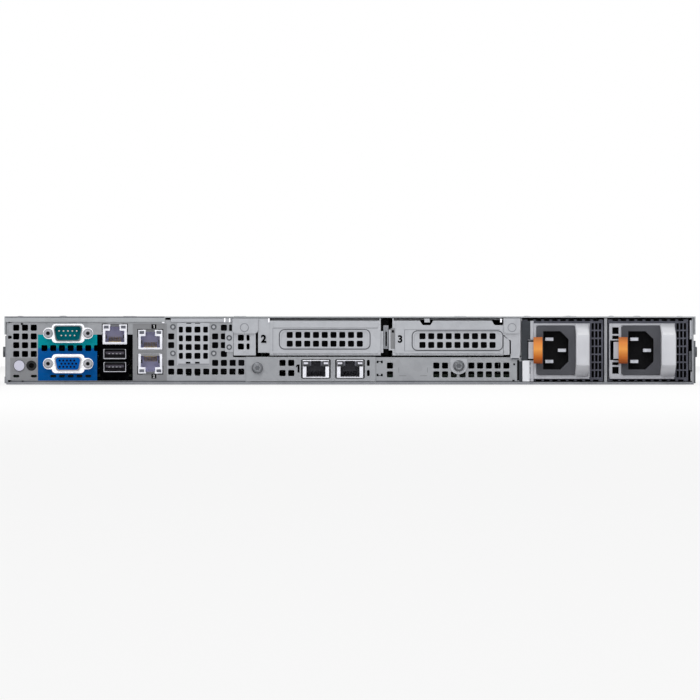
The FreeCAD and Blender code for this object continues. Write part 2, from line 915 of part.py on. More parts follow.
def network_jacks():
    port_x = left_edge + management_from_left
    lan_x = left_edge + lan_from_left
    mouth, seat, back = rear_y - jack_proud, rear_y + sheet, rear_y + sheet + jack_depth
    half = jack_width / 2
    usb_top = usb_upper_z + usb_height / 2 + port_gap
    top = management_z + jack_height / 2
    solids = []
    block = box(port_x - half, port_x + half, seat, back, usb_top, top)
    snout = window(port_x, management_z, jack_width, jack_height, mouth, seat)
    cuts = jack_cavity(port_x, management_z, 1, mouth)
    cuts += jack_lamps(port_x, management_z, 1, mouth, jack_width, jack_height)
    solids.append(block.fuse(snout).cut(cuts))
    block = box(lan_x - half, lan_x + half, seat, back, board_top, lan_upper_z + jack_height / 2)
    for z, flip in ((lan_upper_z, 1), (lan_lower_z, -1)):
        block = block.fuse(window(lan_x, z, jack_width, jack_height, mouth, seat))
        block = block.cut(jack_cavity(lan_x, z, flip, mouth))
        block = block.cut(jack_lamps(lan_x, z, flip, mouth, jack_width, jack_height))
    solids.append(block)
    return solids


def usb_ports():
    cx = left_edge + management_from_left
    mouth, seat, back = rear_y - jack_proud, rear_y + sheet, rear_y + sheet + usb_depth
    half = jack_width / 2
    top = usb_upper_z + usb_height / 2 + port_gap
    block = box(cx - half, cx + half, seat, back, board_top, top)
    for z in (usb_upper_z, usb_lower_z):
        block = block.fuse(window(cx, z, usb_width, usb_height, mouth, seat))
        inner_width, inner_height = usb_width - 2 * usb_wall, usb_height - 2 * usb_wall
        block = block.cut(window(cx, z, inner_width, inner_height, mouth, mouth + usb_cavity_depth))
        tongue_z = z + usb_tongue_lift
        block = block.fuse(window(cx, tongue_z, usb_tongue_width, usb_tongue_thickness,
                                  mouth + usb_tongue_front, mouth + usb_cavity_depth))
    return block.removeSplitter()


def riser_jacks():
    mouth = rear_y - lom_plate - jack_proud
    back = rear_y + jack_depth
    solids = []
    for place in lom_jack_from_left:
        x = left_edge + place
        block = window(x, lom_jack_z, lom_jack_width, lom_jack_height, mouth, back)
        cuts = jack_cavity(x, lom_jack_z, 1, mouth)
        cuts += jack_lamps(x, lom_jack_z, 1, mouth, lom_jack_width, lom_jack_height)
        solids.append(block.cut(cuts))
    return solids


def port_contacts():
    port_x = left_edge + management_from_left
    lan_x = left_edge + lan_from_left
    mouth = rear_y - jack_proud
    solids = serial_pins()
    for x, z, flip in ((port_x, management_z, 1), (lan_x, lan_upper_z, 1), (lan_x, lan_lower_z, -1)):
        solids.append(jack_contacts(x, z, flip, mouth))
    for place in lom_jack_from_left:
        solids.append(jack_contacts(left_edge + place, lom_jack_z, 1, mouth - lom_plate))
    return solids


def id_jack():
    x = left_edge + id_jack_from_left
    body = rod((x, rear_y - id_jack_proud, id_z), (0, 1, 0), id_jack_r, id_jack_depth)
    back = rear_y + sheet
    stand = box(x - id_jack_r, x + id_jack_r, back, rear_y - id_jack_proud + id_jack_depth, board_top, id_z)
    bore = rod((x, rear_y - id_jack_proud, id_z), (0, 1, 0), id_jack_bore_r, id_jack_bore_depth)
    return body.fuse(stand).cut(bore)


def id_button():
    x = left_edge + id_button_from_left
    return rod((x, rear_y - id_button_proud, id_z), (0, 1, 0), id_button_r, id_button_length)


# Riser cages: rear frame, roof, inner wall and the folded handle tab
def rounded_tab(x0, x1, z0, z1, y0, y1):
    tab = box(x0, x1, y0, y1, z0, z1)
    return round_edges(tab, V(0, 1, 0), tab_corner_r, lambda p: p.z < z0 + tab_corner_r)


def folded_tab(x0, x1):
    roof_z = cover_under - cage_top_gap
    y1 = rear_y - tab_proud
    tab = rounded_tab(x0, x1, tab_bottom, roof_z, y1 - cage_sheet, y1)
    fold = box(x0, x1, y1 - cage_sheet, rear_y + roof_setback, roof_z - cage_sheet, roof_z)
    return [tab, fold]


def cage_roof(x0, x1):
    roof_z = cover_under - cage_top_gap
    return box(x0, x1, rear_y + roof_setback, rear_y + cage_depth, roof_z - cage_sheet, roof_z)


def filler_opening(x0, width):
    low = filler_bottom + filler_opening_margin / 2
    high = filler_top - filler_opening_margin
    return box(x0 + filler_opening_margin, x0 + width - filler_opening_margin,
               rear_y - cage_sheet, rear_y, low, high)


def filler_notches(y0, y1):
    low = filler_top - filler_notch_depth
    cuts = []
    for place in filler_notch_from_bay:
        x0 = bay_left_wall - place
        x1 = x0 + filler_notch_width
        points = [(x0, cage_frame_top), (x1, cage_frame_top)]
        points += [(x1 - filler_notch_slant, low), (x0 + filler_notch_slant, low)]
        cuts.append(prism_y(points, y0, y1))
    return cuts


def riser_2_cage():
    y0, y1 = rear_y - cage_sheet, rear_y
    roof_z = cover_under - cage_top_gap
    tab_x = left_edge + tab_from_left
    digit_x = left_edge + digit_tab_right_from_left
    gap_x = left_edge + digit_tab_from_left
    frame = box(riser_left, gap_x - riser_2_gap, y0, y1, cage_frame_bottom, roof_z)
    frame = frame.fuse(box(gap_x, digit_x, y0, y1, digit_tab_bottom, roof_z))
    frame = frame.fuse(box(digit_x, riser_right, y0, y1, cage_frame_bottom, cage_frame_top))
    vents = grid(riser_left + riser_2_vent_inset, riser_2_vent_z, 1, 2, vent_size, vent_size, y0, y1)
    vents += grid(riser_left + riser_2_slot_inset, riser_2_vent_z, 1, 2, riser_2_slot_width, vent_size,
                  y0, y1)
    frame = frame.cut(vents + [filler_opening(left_edge + filler_2_from_left, filler_2_width)])
    post = box(riser_right - cage_sheet, riser_right, y0, rear_y + cage_depth, cage_frame_bottom, roof_z)
    pieces = [frame, cage_roof(riser_left, riser_right), post] + folded_tab(tab_x, tab_x + tab_width)
    return join(pieces)


def riser_3_cage():
    y0, y1 = rear_y - cage_sheet, rear_y
    roof_z = cover_under - cage_top_gap
    right = bay_left_wall - fit_gap
    left = bay_left_wall - riser_3_left_from_bay
    tab_left = right - riser_3_tab_from_bay + fit_gap
    frame = box(left, tab_left, y0, y1, cage_frame_bottom, cage_frame_top)
    frame = frame.cut([filler_opening(bay_left_wall - filler_3_from_bay, filler_3_width)]
                      + filler_notches(y0, y1))
    leg = box(right - riser_3_leg_from_bay, right, y0, y1, riser_3_leg_bottom, roof_z)
    points = [(tab_left, riser_3_neck_high), (tab_left + riser_3_neck_run, riser_3_neck_low)]
    points += [(right, riser_3_neck_low), (right, roof_z), (tab_left, roof_z)]
    neck = prism_y(points, y0, y1)
    roof = cage_roof(left, right)
    wall = box(left, left + cage_sheet, y0, rear_y + cage_depth, cage_frame_bottom, roof_z)
    bracket_x = bay_left_wall - centre_bracket_from_bay
    low, high = centre_bracket_bottom, centre_bracket_top
    bracket = box(bracket_x, bracket_x + centre_bracket_width, y0, y1, low, high)
    hook = box(bracket_x, left + cage_sheet, y0, y1, low, high - centre_hook_drop)
    pieces = [frame, leg, neck, roof, wall, bracket, hook] + folded_tab(tab_left, right)
    return join(pieces)


def slot_filler(x0, width, inset):
    seat = rear_y - cage_sheet
    face = seat - filler_thickness
    plate = box(x0, x0 + width, face, seat, filler_bottom, filler_top)
    cx = x0 + inset + window_width / 2
    cz = filler_bottom + window_lift + window_height / 2
    rim = window(cx, cz, window_width, window_height, face - window_rim_height, face)
    rim = round_edges(rim, V(0, 1, 0), window_height / 4)
    inner = window(cx, cz, window_width - 2 * window_rim, window_height - 2 * window_rim,
                   face - window_rim_height, face)
    inner = round_edges(inner, V(0, 1, 0), window_height / 4 - window_rim / 2)
    first_x = cx - (filler_vent_columns - 1) / 2 * vent_pitch
    first_z = cz - (filler_vent_rows - 1) / 2 * vent_pitch
    holes = grid(first_x, first_z, filler_vent_columns, filler_vent_rows, vent_size, vent_size, face, seat)
    return plate.fuse(rim.cut(inner)).cut(holes)


def slot_fillers():
    second = slot_filler(left_edge + filler_2_from_left, filler_2_width, window_2_inset)
    third = slot_filler(bay_left_wall - filler_3_from_bay, filler_3_width, window_3_inset)
    third = third.cut(filler_notches(rear_y - cage_sheet - filler_thickness, rear_y - cage_sheet))
    return [second, third]


# Slot 1: bracket with a shelf, its card and its captive screw
def lom_bracket():
    x0 = left_edge + lom_from_left
    x1 = x0 + lom_width
    y0, y1 = rear_y - lom_plate, rear_y
    plate = box(x0, x1, y0, y1, lom_bottom, lom_top)
    inset = lom_margin + lom_shelf_inset
    shelf = box(x0 + inset, x1 - inset, y0, rear_y + lom_shelf_depth, lom_bottom, lom_bottom + lom_shelf)
    cuts = []
    for place in lom_jack_from_left:
        cuts.append(window(left_edge + place, lom_jack_z, lom_cutout_width, lom_cutout_height, y0, y1))
    cuts += grid(left_edge + lom_vent_from_left, lom_vent_low, 2, 2, vent_size, vent_size, y0, y1,
                 vent_pitch, lom_vent_pitch_z)
    cuts += grid(left_edge + lom_side_vent_from_left, lom_vent_low, 1, 2, vent_half, vent_size, y0, y1,
                 vent_pitch, lom_vent_pitch_z)
    return plate.cut(cuts).fuse(shelf).removeSplitter()


def cards():
    inset = lom_margin + 2 * lom_shelf_inset
    x0 = left_edge + lom_from_left + inset
    x1 = left_edge + lom_from_left + lom_width - inset
    y0 = rear_y + lom_card_rear_gap
    y1 = rear_y + lom_shelf_depth - lom_card_rear_gap
    lom_card = box(x0, x1, y0, y1, lom_bottom + lom_shelf, lom_jack_z - lom_jack_height / 2)
    x2 = left_edge + card_2_from_left
    y2 = rear_y + lom_shelf_depth + card_2_gap
    riser_2 = box(x2, x2 + card_thickness, y2, y2 + card_2_length, board_top, card_top)
    x3 = bay_left_wall - card_3_from_bay
    y3 = rear_y + card_3_from_rear
    riser_3 = box(x3 - card_thickness, x3, y3, y3 + card_3_length, board_top, card_top)
    return [lom_card, riser_2, riser_3]


def captive_screw(x, z, seat):
    head = rod((x, seat - screw_height, z), (0, 1, 0), screw_r, screw_height)
    return head.cut(rod((x, seat - screw_height, z), (0, 1, 0), screw_socket_r, screw_socket_depth))


def captive_screws():
    lom = captive_screw(left_edge + lom_screw_from_left, lom_screw_z, rear_y - lom_plate)
    lower = captive_screw(left_edge + screw_tab_from_left, screw_tab_z, rear_y - plate_thickness)
    return [lom, lower]


def screw_tab():
    x = left_edge + screw_tab_from_left
    half = screw_tab_half_width
    tab = box(x - half, x + half, rear_y - plate_thickness, rear_y, screw_tab_z - half, screw_tab_top)
    return round_edges(tab, V(0, 1, 0), screw_tab_corner_r, lambda p: p.z < screw_tab_z)


# Power-supply bay: left wall and divider on a common floor strip
def psu_bay():
    divider_left = psu_1_left + psu_width + psu_side_gap
    left = box(bay_left_wall, bay_left, rear_y, bay_front_y, sheet, wall_top)
    divider = box(divider_left, divider_left + divider_thickness, rear_y, bay_front_y, sheet, wall_top)
    stop = box(bay_left_wall, wall_inner, bay_front_y - bay_wall, bay_front_y, sheet, psu_top)
    return join([left, divider, stop])


def psu_case(left):
    case = box(left, left + psu_width, psu_case_rear, rear_y + psu_depth, psu_bottom, psu_top)
    face = box(left + psu_face_left, left + psu_face_right, psu_face_rear, psu_case_rear,
               psu_face_bottom, psu_face_top)
    cuts = []
    for i in range(psu_teeth):
        x = left + psu_width / 2 + (i - (psu_teeth - 1) / 2) * psu_tooth_pitch
        for z0 in (psu_bottom, psu_top - psu_tooth_height):
            cuts.append(box(x - psu_tooth_width / 2, x + psu_tooth_width / 2, psu_case_rear,
                            psu_case_rear + psu_tooth_depth, z0, z0 + psu_tooth_height))
    grille_low = psu_mid - (psu_grille_rows - 1) / 2 * psu_grille_pitch_z
    cuts += grid(left + psu_grille_first, grille_low, psu_grille_columns, psu_grille_rows,
                 psu_grille_width, psu_grille_height, psu_case_rear, psu_case_rear + psu_grille_depth,
                 psu_grille_pitch_x, psu_grille_pitch_z)
    vent_floor = psu_face_rear + psu_side_vent_depth
    for low, high in psu_side_vents:
        x0 = left + psu_side_vent_left
        x1 = x0 + psu_side_vent_width
        cuts.append(box(x0, x1, psu_face_rear, vent_floor, psu_mid + low, psu_mid + high))
    cuts.append(box(left + latch_slot_left, left + latch_slot_right, psu_face_rear, rear_y + latch_slot_depth,
                    latch_slot_low, latch_slot_high))
    cuts.append(box(left + inlet_left, left + inlet_left + inlet_width, psu_face_rear, rear_y + inlet_depth,
                    inlet_bottom, inlet_bottom + inlet_height))
    return case.fuse(face).cut(cuts)


def psu_inlet(left):
    x0 = left + inlet_left
    z1 = inlet_bottom + inlet_height
    block = box(x0, x0 + inlet_width, inlet_rear, rear_y + inlet_depth, inlet_bottom, z1)
    block = round_edges(block, V(0, 1, 0), inlet_corner_r)
    c0 = x0 + inlet_cavity_left
    c1 = c0 + inlet_cavity_width
    mid = inlet_bottom + inlet_height / 2
    low, high = mid - inlet_cavity_height / 2, mid + inlet_cavity_height / 2
    corner = inlet_cavity_chamfer
    points = [(c0, low), (c1 - corner, low), (c1, low + corner)]
    points += [(c1, high - corner), (c1 - corner, high), (c0, high)]
    floor = inlet_rear + inlet_cavity_depth
    block = block.cut(prism_y(points, inlet_rear, floor))
    centre = (c0 + c1) / 2
    half, tall = blade_width / 2, blade_thickness / 2
    solids = [block]
    for dx, dz in ((-blade_offset, -blade_half_pitch), (-blade_offset, blade_half_pitch), (blade_offset, 0)):
        x, z = centre + dx, mid + dz
        solids.append(box(x - half, x + half, floor - blade_length, floor, z - tall, z + tall))
    return solids


def psu_handle(left):
    seat = psu_face_rear
    reach = seat - strap_reach
    t = strap_thickness
    outer = [(seat, strap_foot_low), (reach, strap_grip_low)]
    outer += [(reach, strap_grip_high), (seat, strap_foot_high)]
    foot, grip = strap_foot_share * t, strap_grip_share * t
    inner = [(seat, strap_foot_high - foot), (reach + t, strap_grip_high - grip)]
    inner += [(reach + t, strap_grip_low + grip), (seat, strap_foot_low + foot)]
    return prism_x(outer + inner, left + strap_left, left + strap_left + strap_width)


def psu_latch(left):
    x0 = left + latch_arm_x
    x1 = x0 + latch_arm_thickness
    tip = rear_y - latch_arm_reach
    eye = rod((x0 + latch_arm_thickness / 2, latch_pivot_y, latch_arm_low), (0, 0, 1),
              latch_eye_r, latch_arm_high - latch_arm_low)
    arm = box(x0, x1, tip, latch_pivot_y, latch_arm_low, latch_arm_high)
    foot = box(x0, left + latch_tab_left + latch_tab_width, tip, tip + latch_arm_thickness,
               latch_arm_low, latch_arm_high)
    steel = join([arm, foot, eye])
    t0 = left + latch_tab_left
    t1 = t0 + latch_tab_width
    back = tip
    front = tip - latch_tab_thickness
    crown = front - latch_tab_bulge
    third = (latch_tab_high - latch_tab_low) / 3
    points = [(back, latch_tab_low), (front, latch_tab_low), (crown, latch_tab_low + third)]
    points += [(crown, latch_tab_high - third), (front, latch_tab_high), (back, latch_tab_high)]
    return [steel, prism_x(points, t0, t1)]


# System board with processor sockets and memory slots
def memory_places():
    places = []
    for cpu in (-1, 1):
        for side in (-1, 1):
            for i in range(memory_per_bank):
                places.append(cpu * cpu_half_spacing + side * (memory_from_cpu + i * memory_pitch))
    return places


def system_board():
    x0, x1 = -wall_inner + board_edge_gap, wall_inner - board_edge_gap
    neck = bay_left_wall - board_edge_gap
    rear = rear_y + sheet + fit_gap
    bay_y = bay_front_y + board_edge_gap
    points = [(x0, rear), (neck, rear), (neck, bay_y), (x1, bay_y), (x1, board_front_y), (x0, board_front_y)]
    board = prism_z(points, board_under, board_top)
    lom_x = left_edge + lom_from_left
    notch_front = rear_y + lom_shelf_depth + board_edge_gap
    board = board.cut(box(lom_x, lom_x + lom_width, rear, notch_front, board_under, board_top))
    solids = [board]
    for side in (-1, 1):
        x = side * cpu_half_spacing
        solids.append(box(x - socket_width / 2, x + socket_width / 2, cpu_y - socket_length / 2,
                          cpu_y + socket_length / 2, board_top, board_top + socket_height))
    half = memory_slot_length / 2
    for x in memory_places():
        slot = box(x - memory_slot_width / 2, x + memory_slot_width / 2, cpu_y - half, cpu_y + half,
                   board_top, board_top + memory_slot_height)
        groove = memory_thickness / 2 + memory_play
        reach = memory_length / 2 + memory_end_play
        slot = slot.cut(box(x - groove, x + groove, cpu_y - reach, cpu_y + reach,
                            board_top + memory_seat, board_top + memory_slot_height))
        solids.append(slot)
    return solids


def heat_sink(x):
    z = board_top + socket_height
    half, reach = sink_width / 2, sink_length / 2
    pieces = [box(x - half, x + half, cpu_y - reach, cpu_y + reach, z, z + sink_base)]
    step = (sink_width - sink_fin) / (sink_fins - 1)
    for i in range(sink_fins):
        fin_x = x - half + i * step
        pieces.append(box(fin_x, fin_x + sink_fin, cpu_y - reach, cpu_y + reach, z, sink_top))
    return join(pieces)


def memory_module(x):
    z0 = board_top + memory_seat
    z1 = z0 + memory_height
    half = memory_thickness / 2
    reach = memory_length / 2
    blade = box(x - half, x + half, cpu_y - reach, cpu_y + reach, z0, z1)
    chip = memory_chip_thickness / 2
    chip_top = z1 - memory_chip_margin
    chips = box(x - chip, x + chip, cpu_y - reach + memory_chip_margin, cpu_y + reach - memory_chip_margin,
                chip_top - memory_chip_height, chip_top)
    return blade.fuse(chips)


def air_shroud():
    solids = []
    for side in (-1, 1):
        x = side * cpu_half_spacing
        half = sink_width / 2 + shroud_side_gap
        y0, y1 = cpu_y - shroud_half_length, cpu_y + shroud_half_length
        outer = box(x - half, x + half, y0, y1, board_top, shroud_top)
        inner_half = half - shroud_sheet
        inner = box(x - inner_half, x + inner_half, y0, y1, board_top, shroud_top - shroud_sheet)
        solids.append(outer.cut(inner))
    return solids


# Fans
def fan_places():
    return [(i - (fan_count - 1) / 2) * fan_pitch for i in range(fan_count)]


def fan_cage():
    wall = box(-wall_inner, wall_inner, fan_front, fan_front + fan_cage_sheet, sheet, wall_top)
    holes = [rod((x, fan_front, fan_centre_z), (0, 1, 0), fan_bore_r, fan_cage_sheet) for x in fan_places()]
    foot = box(-wall_inner, wall_inner, fan_front, fan_front + fan_zone_gap / 2, sheet, 2 * sheet)
    return wall.cut(holes).fuse(foot).removeSplitter()


def fan_frame(x):
    half = fan_size / 2
    z = fan_centre_z
    frame = box(x - half, x + half, fan_rear, fan_front, z - half, z + half)
    frame = frame.cut(rod((x, fan_rear, z), (0, 1, 0), fan_bore_r, fan_depth))
    reach = fan_bore_r + fan_overlap
    strut = fan_strut / 2
    spider = rod((x, fan_rear, z), (0, 1, 0), fan_motor_r, fan_motor_thickness)
    across = box(x - reach, x + reach, fan_rear, fan_rear + fan_motor_thickness, z - strut, z + strut)
    upright = box(x - strut, x + strut, fan_rear, fan_rear + fan_motor_thickness, z - reach, z + reach)
    shaft_length = fan_motor_thickness + fan_rotor_depth - fan_bore_floor - fan_shaft_end_gap
    shaft = rod((x, fan_rear, z), (0, 1, 0), fan_shaft_r, shaft_length)
    return join([frame, spider, across, upright, shaft])


def fan_rotor(x):
    z = fan_centre_z
    y0 = fan_rear + fan_motor_thickness + fit_gap
    hub = rod((x, y0, z), (0, 1, 0), fan_hub_r, fan_rotor_depth)
    ring = rod((x, y0, z), (0, 1, 0), fan_blade_r, fan_rotor_depth)
    middle = y0 + fan_rotor_depth / 2
    pieces = [hub]
    for i in range(fan_blades):
        chord, thick = fan_blade_chord / 2, fan_blade_thickness / 2
        blade = box(-chord, chord, -thick, thick, fan_hub_r - fan_overlap, fan_blade_r + fan_overlap)
        blade.rotate(V(0, 0, 0), V(0, 0, 1), fan_blade_angle)
        blade.rotate(V(0, 0, 0), V(0, 1, 0), 360 * i / fan_blades)
        blade.translate(V(x, middle, z))
        pieces.append(blade.common(ring))
    rotor = join(pieces)
    bore_r = fan_shaft_r + fan_shaft_play
    return rotor.cut(rod((x, y0, z), (0, 1, 0), bore_r, fan_rotor_depth - fan_bore_floor))


# Drive bays
def bay_centres():
    return [(i - (bay_count - 1) / 2) * bay_pitch for i in range(bay_count)]


def drive_cage():
    y0 = backplane_y + backplane_thickness
    half = bay_count * bay_pitch / 2 + bay_divider / 2
    roof = box(-half, half, y0, front_y, bay_top, bay_top + cage_plate)
    pieces = [roof]
    for i in range(bay_count + 1):
        x = (i - bay_count / 2) * bay_pitch
        pieces.append(box(x - bay_divider / 2, x + bay_divider / 2, y0, front_y, sheet, bay_top + cage_plate))
    strip = box(-half, half, front_y - cage_plate, front_y, bay_top, wall_top)
    top = box(-half, half, cover_front + fit_gap, front_y, wall_top - cage_plate, wall_top)
    span = (strip_vent_columns - 1) * strip_vent_pitch / 2
    holes = []
    for x in bay_centres():
        holes += grid(x - span, (bay_top + wall_top) / 2, strip_vent_columns, strip_vent_rows,
                      strip_vent_width, strip_vent_height, front_y - cage_plate, front_y, strip_vent_pitch)
    return join(pieces + [strip.cut(holes), top])


def drive_backplane():
    half = bay_count * bay_pitch / 2
    board = box(-half, half, backplane_y, backplane_y + backplane_thickness, backplane_bottom, backplane_top)
    pieces = [board]
    y1 = backplane_y + backplane_thickness
    for x in bay_centres():
        pieces.append(window(x, drive_plug_z, drive_plug_width, drive_plug_height, y1, y1 + drive_plug_depth))
        foot = backplane_foot_half
        pieces.append(box(x - foot, x + foot, backplane_y, y1, sheet, backplane_bottom))
    return join(pieces)


def carrier_half():
    return bay_pitch / 2 - bay_divider / 2 - carrier_side_gap


def bezel(x):
    half = carrier_half()
    return box(x - half, x + half, bezel_rear, bezel_front, carrier_bottom, carrier_top)


def bezel_cells(x, columns):
    first_x = x - (columns - 1) / 2 * bezel_cell_pitch
    middle = (carrier_bottom + carrier_top) / 2
    first_z = middle - (bezel_cell_rows - 1) / 2 * bezel_cell_pitch
    return grid(first_x, first_z, columns, bezel_cell_rows, bezel_cell, bezel_cell,
                bezel_front - bezel_cell_depth, bezel_front, bezel_cell_pitch, bezel_cell_pitch)


def carrier_rails(x):
    rails = []
    top = carrier_bottom + disk_height
    for side in (-1, 1):
        inner = x + side * (disk_width / 2 + disk_side_play)
        outer = inner + side * carrier_rail
        low, high = sorted((inner, outer))
        rails.append(box(low, high, bezel_rear - carrier_rail_length, bezel_rear, carrier_bottom, top))
    return rails


def handle_pivot_x(x):
    return x - carrier_half() + handle_pivot_inset


def button_x(x):
    return x + carrier_half() - button_inset


def carrier(x):
    body = bezel(x)
    px = handle_pivot_x(x)
    lugs = []
    for z0 in (handle_low - fit_gap - lug_height, handle_high + fit_gap):
        lug = box(px - lug_half, px + lug_half, bezel_front, handle_y + lug_half, z0, z0 + lug_height)
        lugs.append(lug.cut(rod((px, handle_y, z0), (0, 0, 1), handle_pin_r + handle_pin_play, lug_height)))
    middle = (carrier_bottom + carrier_top) / 2
    seat = window(button_x(x), middle, button_width + 2 * fit_gap, button_height + 2 * fit_gap,
                  bezel_front - button_seat - button_travel_room, bezel_front)
    body = body.cut(bezel_cells(x, bezel_cell_columns) + [seat])
    return join([body] + lugs + carrier_rails(x))


def disk(x):
    y1 = bezel_rear - disk_front_gap
    y0 = y1 - disk_length
    half = disk_width / 2
    top = carrier_bottom + disk_height
    body = box(x - half, x + half, y0, y1, carrier_bottom, top)
    lid_half = half - disk_lid_margin
    lid = box(x - lid_half, x + lid_half, y0 + disk_lid_margin, y1 - disk_lid_margin, top, top + disk_lid)
    return body.fuse(lid)


def handle(x):
    px = handle_pivot_x(x)
    free = x + carrier_half() - handle_free_inset
    half = handle_thickness / 2
    bar = box(px, free, handle_y - half, handle_y + half, handle_low, handle_high)
    first_x = (px + free) / 2 - (handle_cell_columns - 1) / 2 * bezel_cell_pitch
    first_z = (handle_low + handle_high) / 2 - (handle_cell_rows - 1) / 2 * bezel_cell_pitch
    bar = bar.cut(grid(first_x, first_z, handle_cell_columns, handle_cell_rows, bezel_cell, bezel_cell,
                       handle_y - half, handle_y + half, bezel_cell_pitch, bezel_cell_pitch))
    eye = rod((px, handle_y, handle_low), (0, 0, 1), handle_eye_r, handle_high - handle_low)
    pin_low = handle_low - handle_pin_length
    pin_length = handle_high - handle_low + 2 * handle_pin_length
    pin = rod((px, handle_y, pin_low), (0, 0, 1), handle_pin_r, pin_length)
    return join([bar, eye, pin])


def carrier_button(x):
    middle = (carrier_bottom + carrier_top) / 2
    y0, y1 = bezel_front - button_seat, bezel_front + button_proud
    return window(button_x(x), middle, button_width, button_height, y0, y1)


def bay_blank(x):
    face = bezel(x).cut(bezel_cells(x, bezel_cell_columns))
    half = disk_width / 2
    body = box(x - half, x + half, bezel_rear - blank_body_length, bezel_rear,
               carrier_bottom + blank_body_inset, carrier_top - blank_body_inset)
    return join([face, body])


# Rack ears, control panels and the power button
def rack_hole_x():
    return rack_opening / 2 + rack_hole_outset


def rack_ear(side):
    x_in, x_out = wall_outer, rack_opening / 2 + rack_panel_outset
    flange = box(x_in, x_out, ear_y - ear_thickness, ear_y, ear_low, ear_high)
    leg = box(x_in, x_in + ear_leg, ear_y - ear_leg_length, ear_y, ear_leg_low, ear_leg_high)
    ear = flange.fuse(leg)
    half = rack_slot_length / 2 - rack_slot_r
    for s in (-1, 1):
        z = body_height / 2 + s * rack_hole_height / 2
        x = rack_hole_x()
        slot = box(x - half, x + half, ear_y - ear_thickness, ear_y, z - rack_slot_r, z + rack_slot_r)
        for end in (-half, half):
            slot = slot.fuse(rod((x + end, ear_y - ear_thickness, z), (0, 1, 0), rack_slot_r, ear_thickness))
        ear = ear.cut(slot)
    if side < 0:
        ear = ear.mirror(V(0, 0, 0), V(1, 0, 0))
    return ear


def panel_x():
    return wall_outer + panel_inset + panel_width / 2


def control_panel(side):
    x = side * panel_x()
    y1 = ear_y + panel_depth
    half = panel_width / 2
    return box(x - half, x + half, ear_y, y1, panel_low, panel_high)


def left_control_panel():
    body = control_panel(-1)
    y1 = ear_y + panel_depth
    middle = (panel_low + panel_high) / 2
    cuts = []
    for i in range(lamp_count):
        z = middle + (i - (lamp_count - 1) / 2) * lamp_pitch
        cuts.append(rod((-panel_x(), y1 - lamp_depth, z), (0, 1, 0), lamp_r, lamp_depth))
    return body.cut(cuts)


def right_control_panel():
    body = control_panel(1)
    x = panel_x()
    y1 = ear_y + panel_depth
    bore_depth = power_button_length + power_travel_room
    cuts = [rod((x, y1 - bore_depth, power_button_z), (0, 1, 0), power_button_r + fit_gap, bore_depth)]
    cuts.append(window(x, front_usb_z, front_usb_width, front_usb_height, y1 - front_usb_depth, y1))
    body = body.cut(cuts)
    return body.fuse(window(x + front_tongue_shift, front_usb_z, front_tongue_width, front_tongue_height,
                            y1 - front_usb_depth, y1 - front_tongue_setback))


def power_button():
    y1 = ear_y + panel_depth + power_button_proud
    return rod((panel_x(), y1 - power_button_length - power_button_proud, power_button_z), (0, 1, 0),
               power_button_r, power_button_length + power_button_proud)


# Top cover with side flanges, rear lip and the drawn pocket of its latch
def lever_pivot():
    z = body_height - lever_sink - lever_thickness / 2 - lever_pin_drop
    return pocket_rear_y + pocket_wall + lever_pivot_in, z


def top_cover():
    edge = body_width / 2
    y0 = rear_y - cover_rear_overhang
    plate = box(-edge, edge, y0, cover_front, cover_under, body_height)
    pieces = [plate]
    for side in (-1, 1):
        low, high = sorted((side * (edge - cover_sheet), side * edge))
        flange = box(low, high, y0, cover_front, cover_flange_bottom, body_height)
        notches = []
        for d in stud_from_rear:
            y = rear_y + d
            notches.append(box(low, high, y - cover_notch_width / 2, y + cover_notch_width / 2,
                               cover_flange_bottom, cover_flange_bottom + cover_notch_height))
        pieces.append(flange.cut(notches))
    lip_right = left_edge + cover_lip_right_from_left
    pieces.append(box(-edge, lip_right, y0, y0 + cover_sheet, cover_lip_bottom, body_height))
    floor = cover_under - pocket_depth
    p0, p1 = pocket_rear_y, pocket_rear_y + pocket_length
    shell = box(-pocket_half_width, pocket_half_width, p0, p1, floor, cover_under)
    inner_half = pocket_half_width - pocket_wall
    hollow = box(-inner_half, inner_half, p0 + pocket_wall, p1 - pocket_wall,
                 floor + pocket_wall, body_height)
    cover = join(pieces + [shell]).cut(hollow)
    for side in (-1, 1):
        low, high = sorted((side * (lever_half_width + fit_gap), side * (pocket_half_width - pocket_wall)))
        py, pz = lever_pivot()
        cheek = box(low, high, py - lever_eye_r, py + lever_eye_r, floor + pocket_wall, cover_under)
        cheek = cheek.cut(rod((low, py, pz), (1, 0, 0), lever_pin_r + lever_pin_play, high - low))
        cover = cover.fuse(cheek)
    return cover


def cover_latch():
    py, pz = lever_pivot()
    top = body_height - lever_sink
    plate = box(-lever_half_width, lever_half_width, py, py + lever_length, top - lever_thickness, top)
    eye = rod((-lever_half_width, py, pz), (1, 0, 0), lever_eye_r, 2 * lever_half_width)
    reach = lever_half_width + fit_gap + lever_pin_reach
    pin = rod((-reach, py, pz), (1, 0, 0), lever_pin_r, 2 * reach)
    tip = py + lever_length
    hook = box(-lever_half_width / 2, lever_half_width / 2, tip - lever_hook_length, tip,
               top - lever_thickness - lever_hook_drop, top)
    return join([plate, eye, pin, hook])


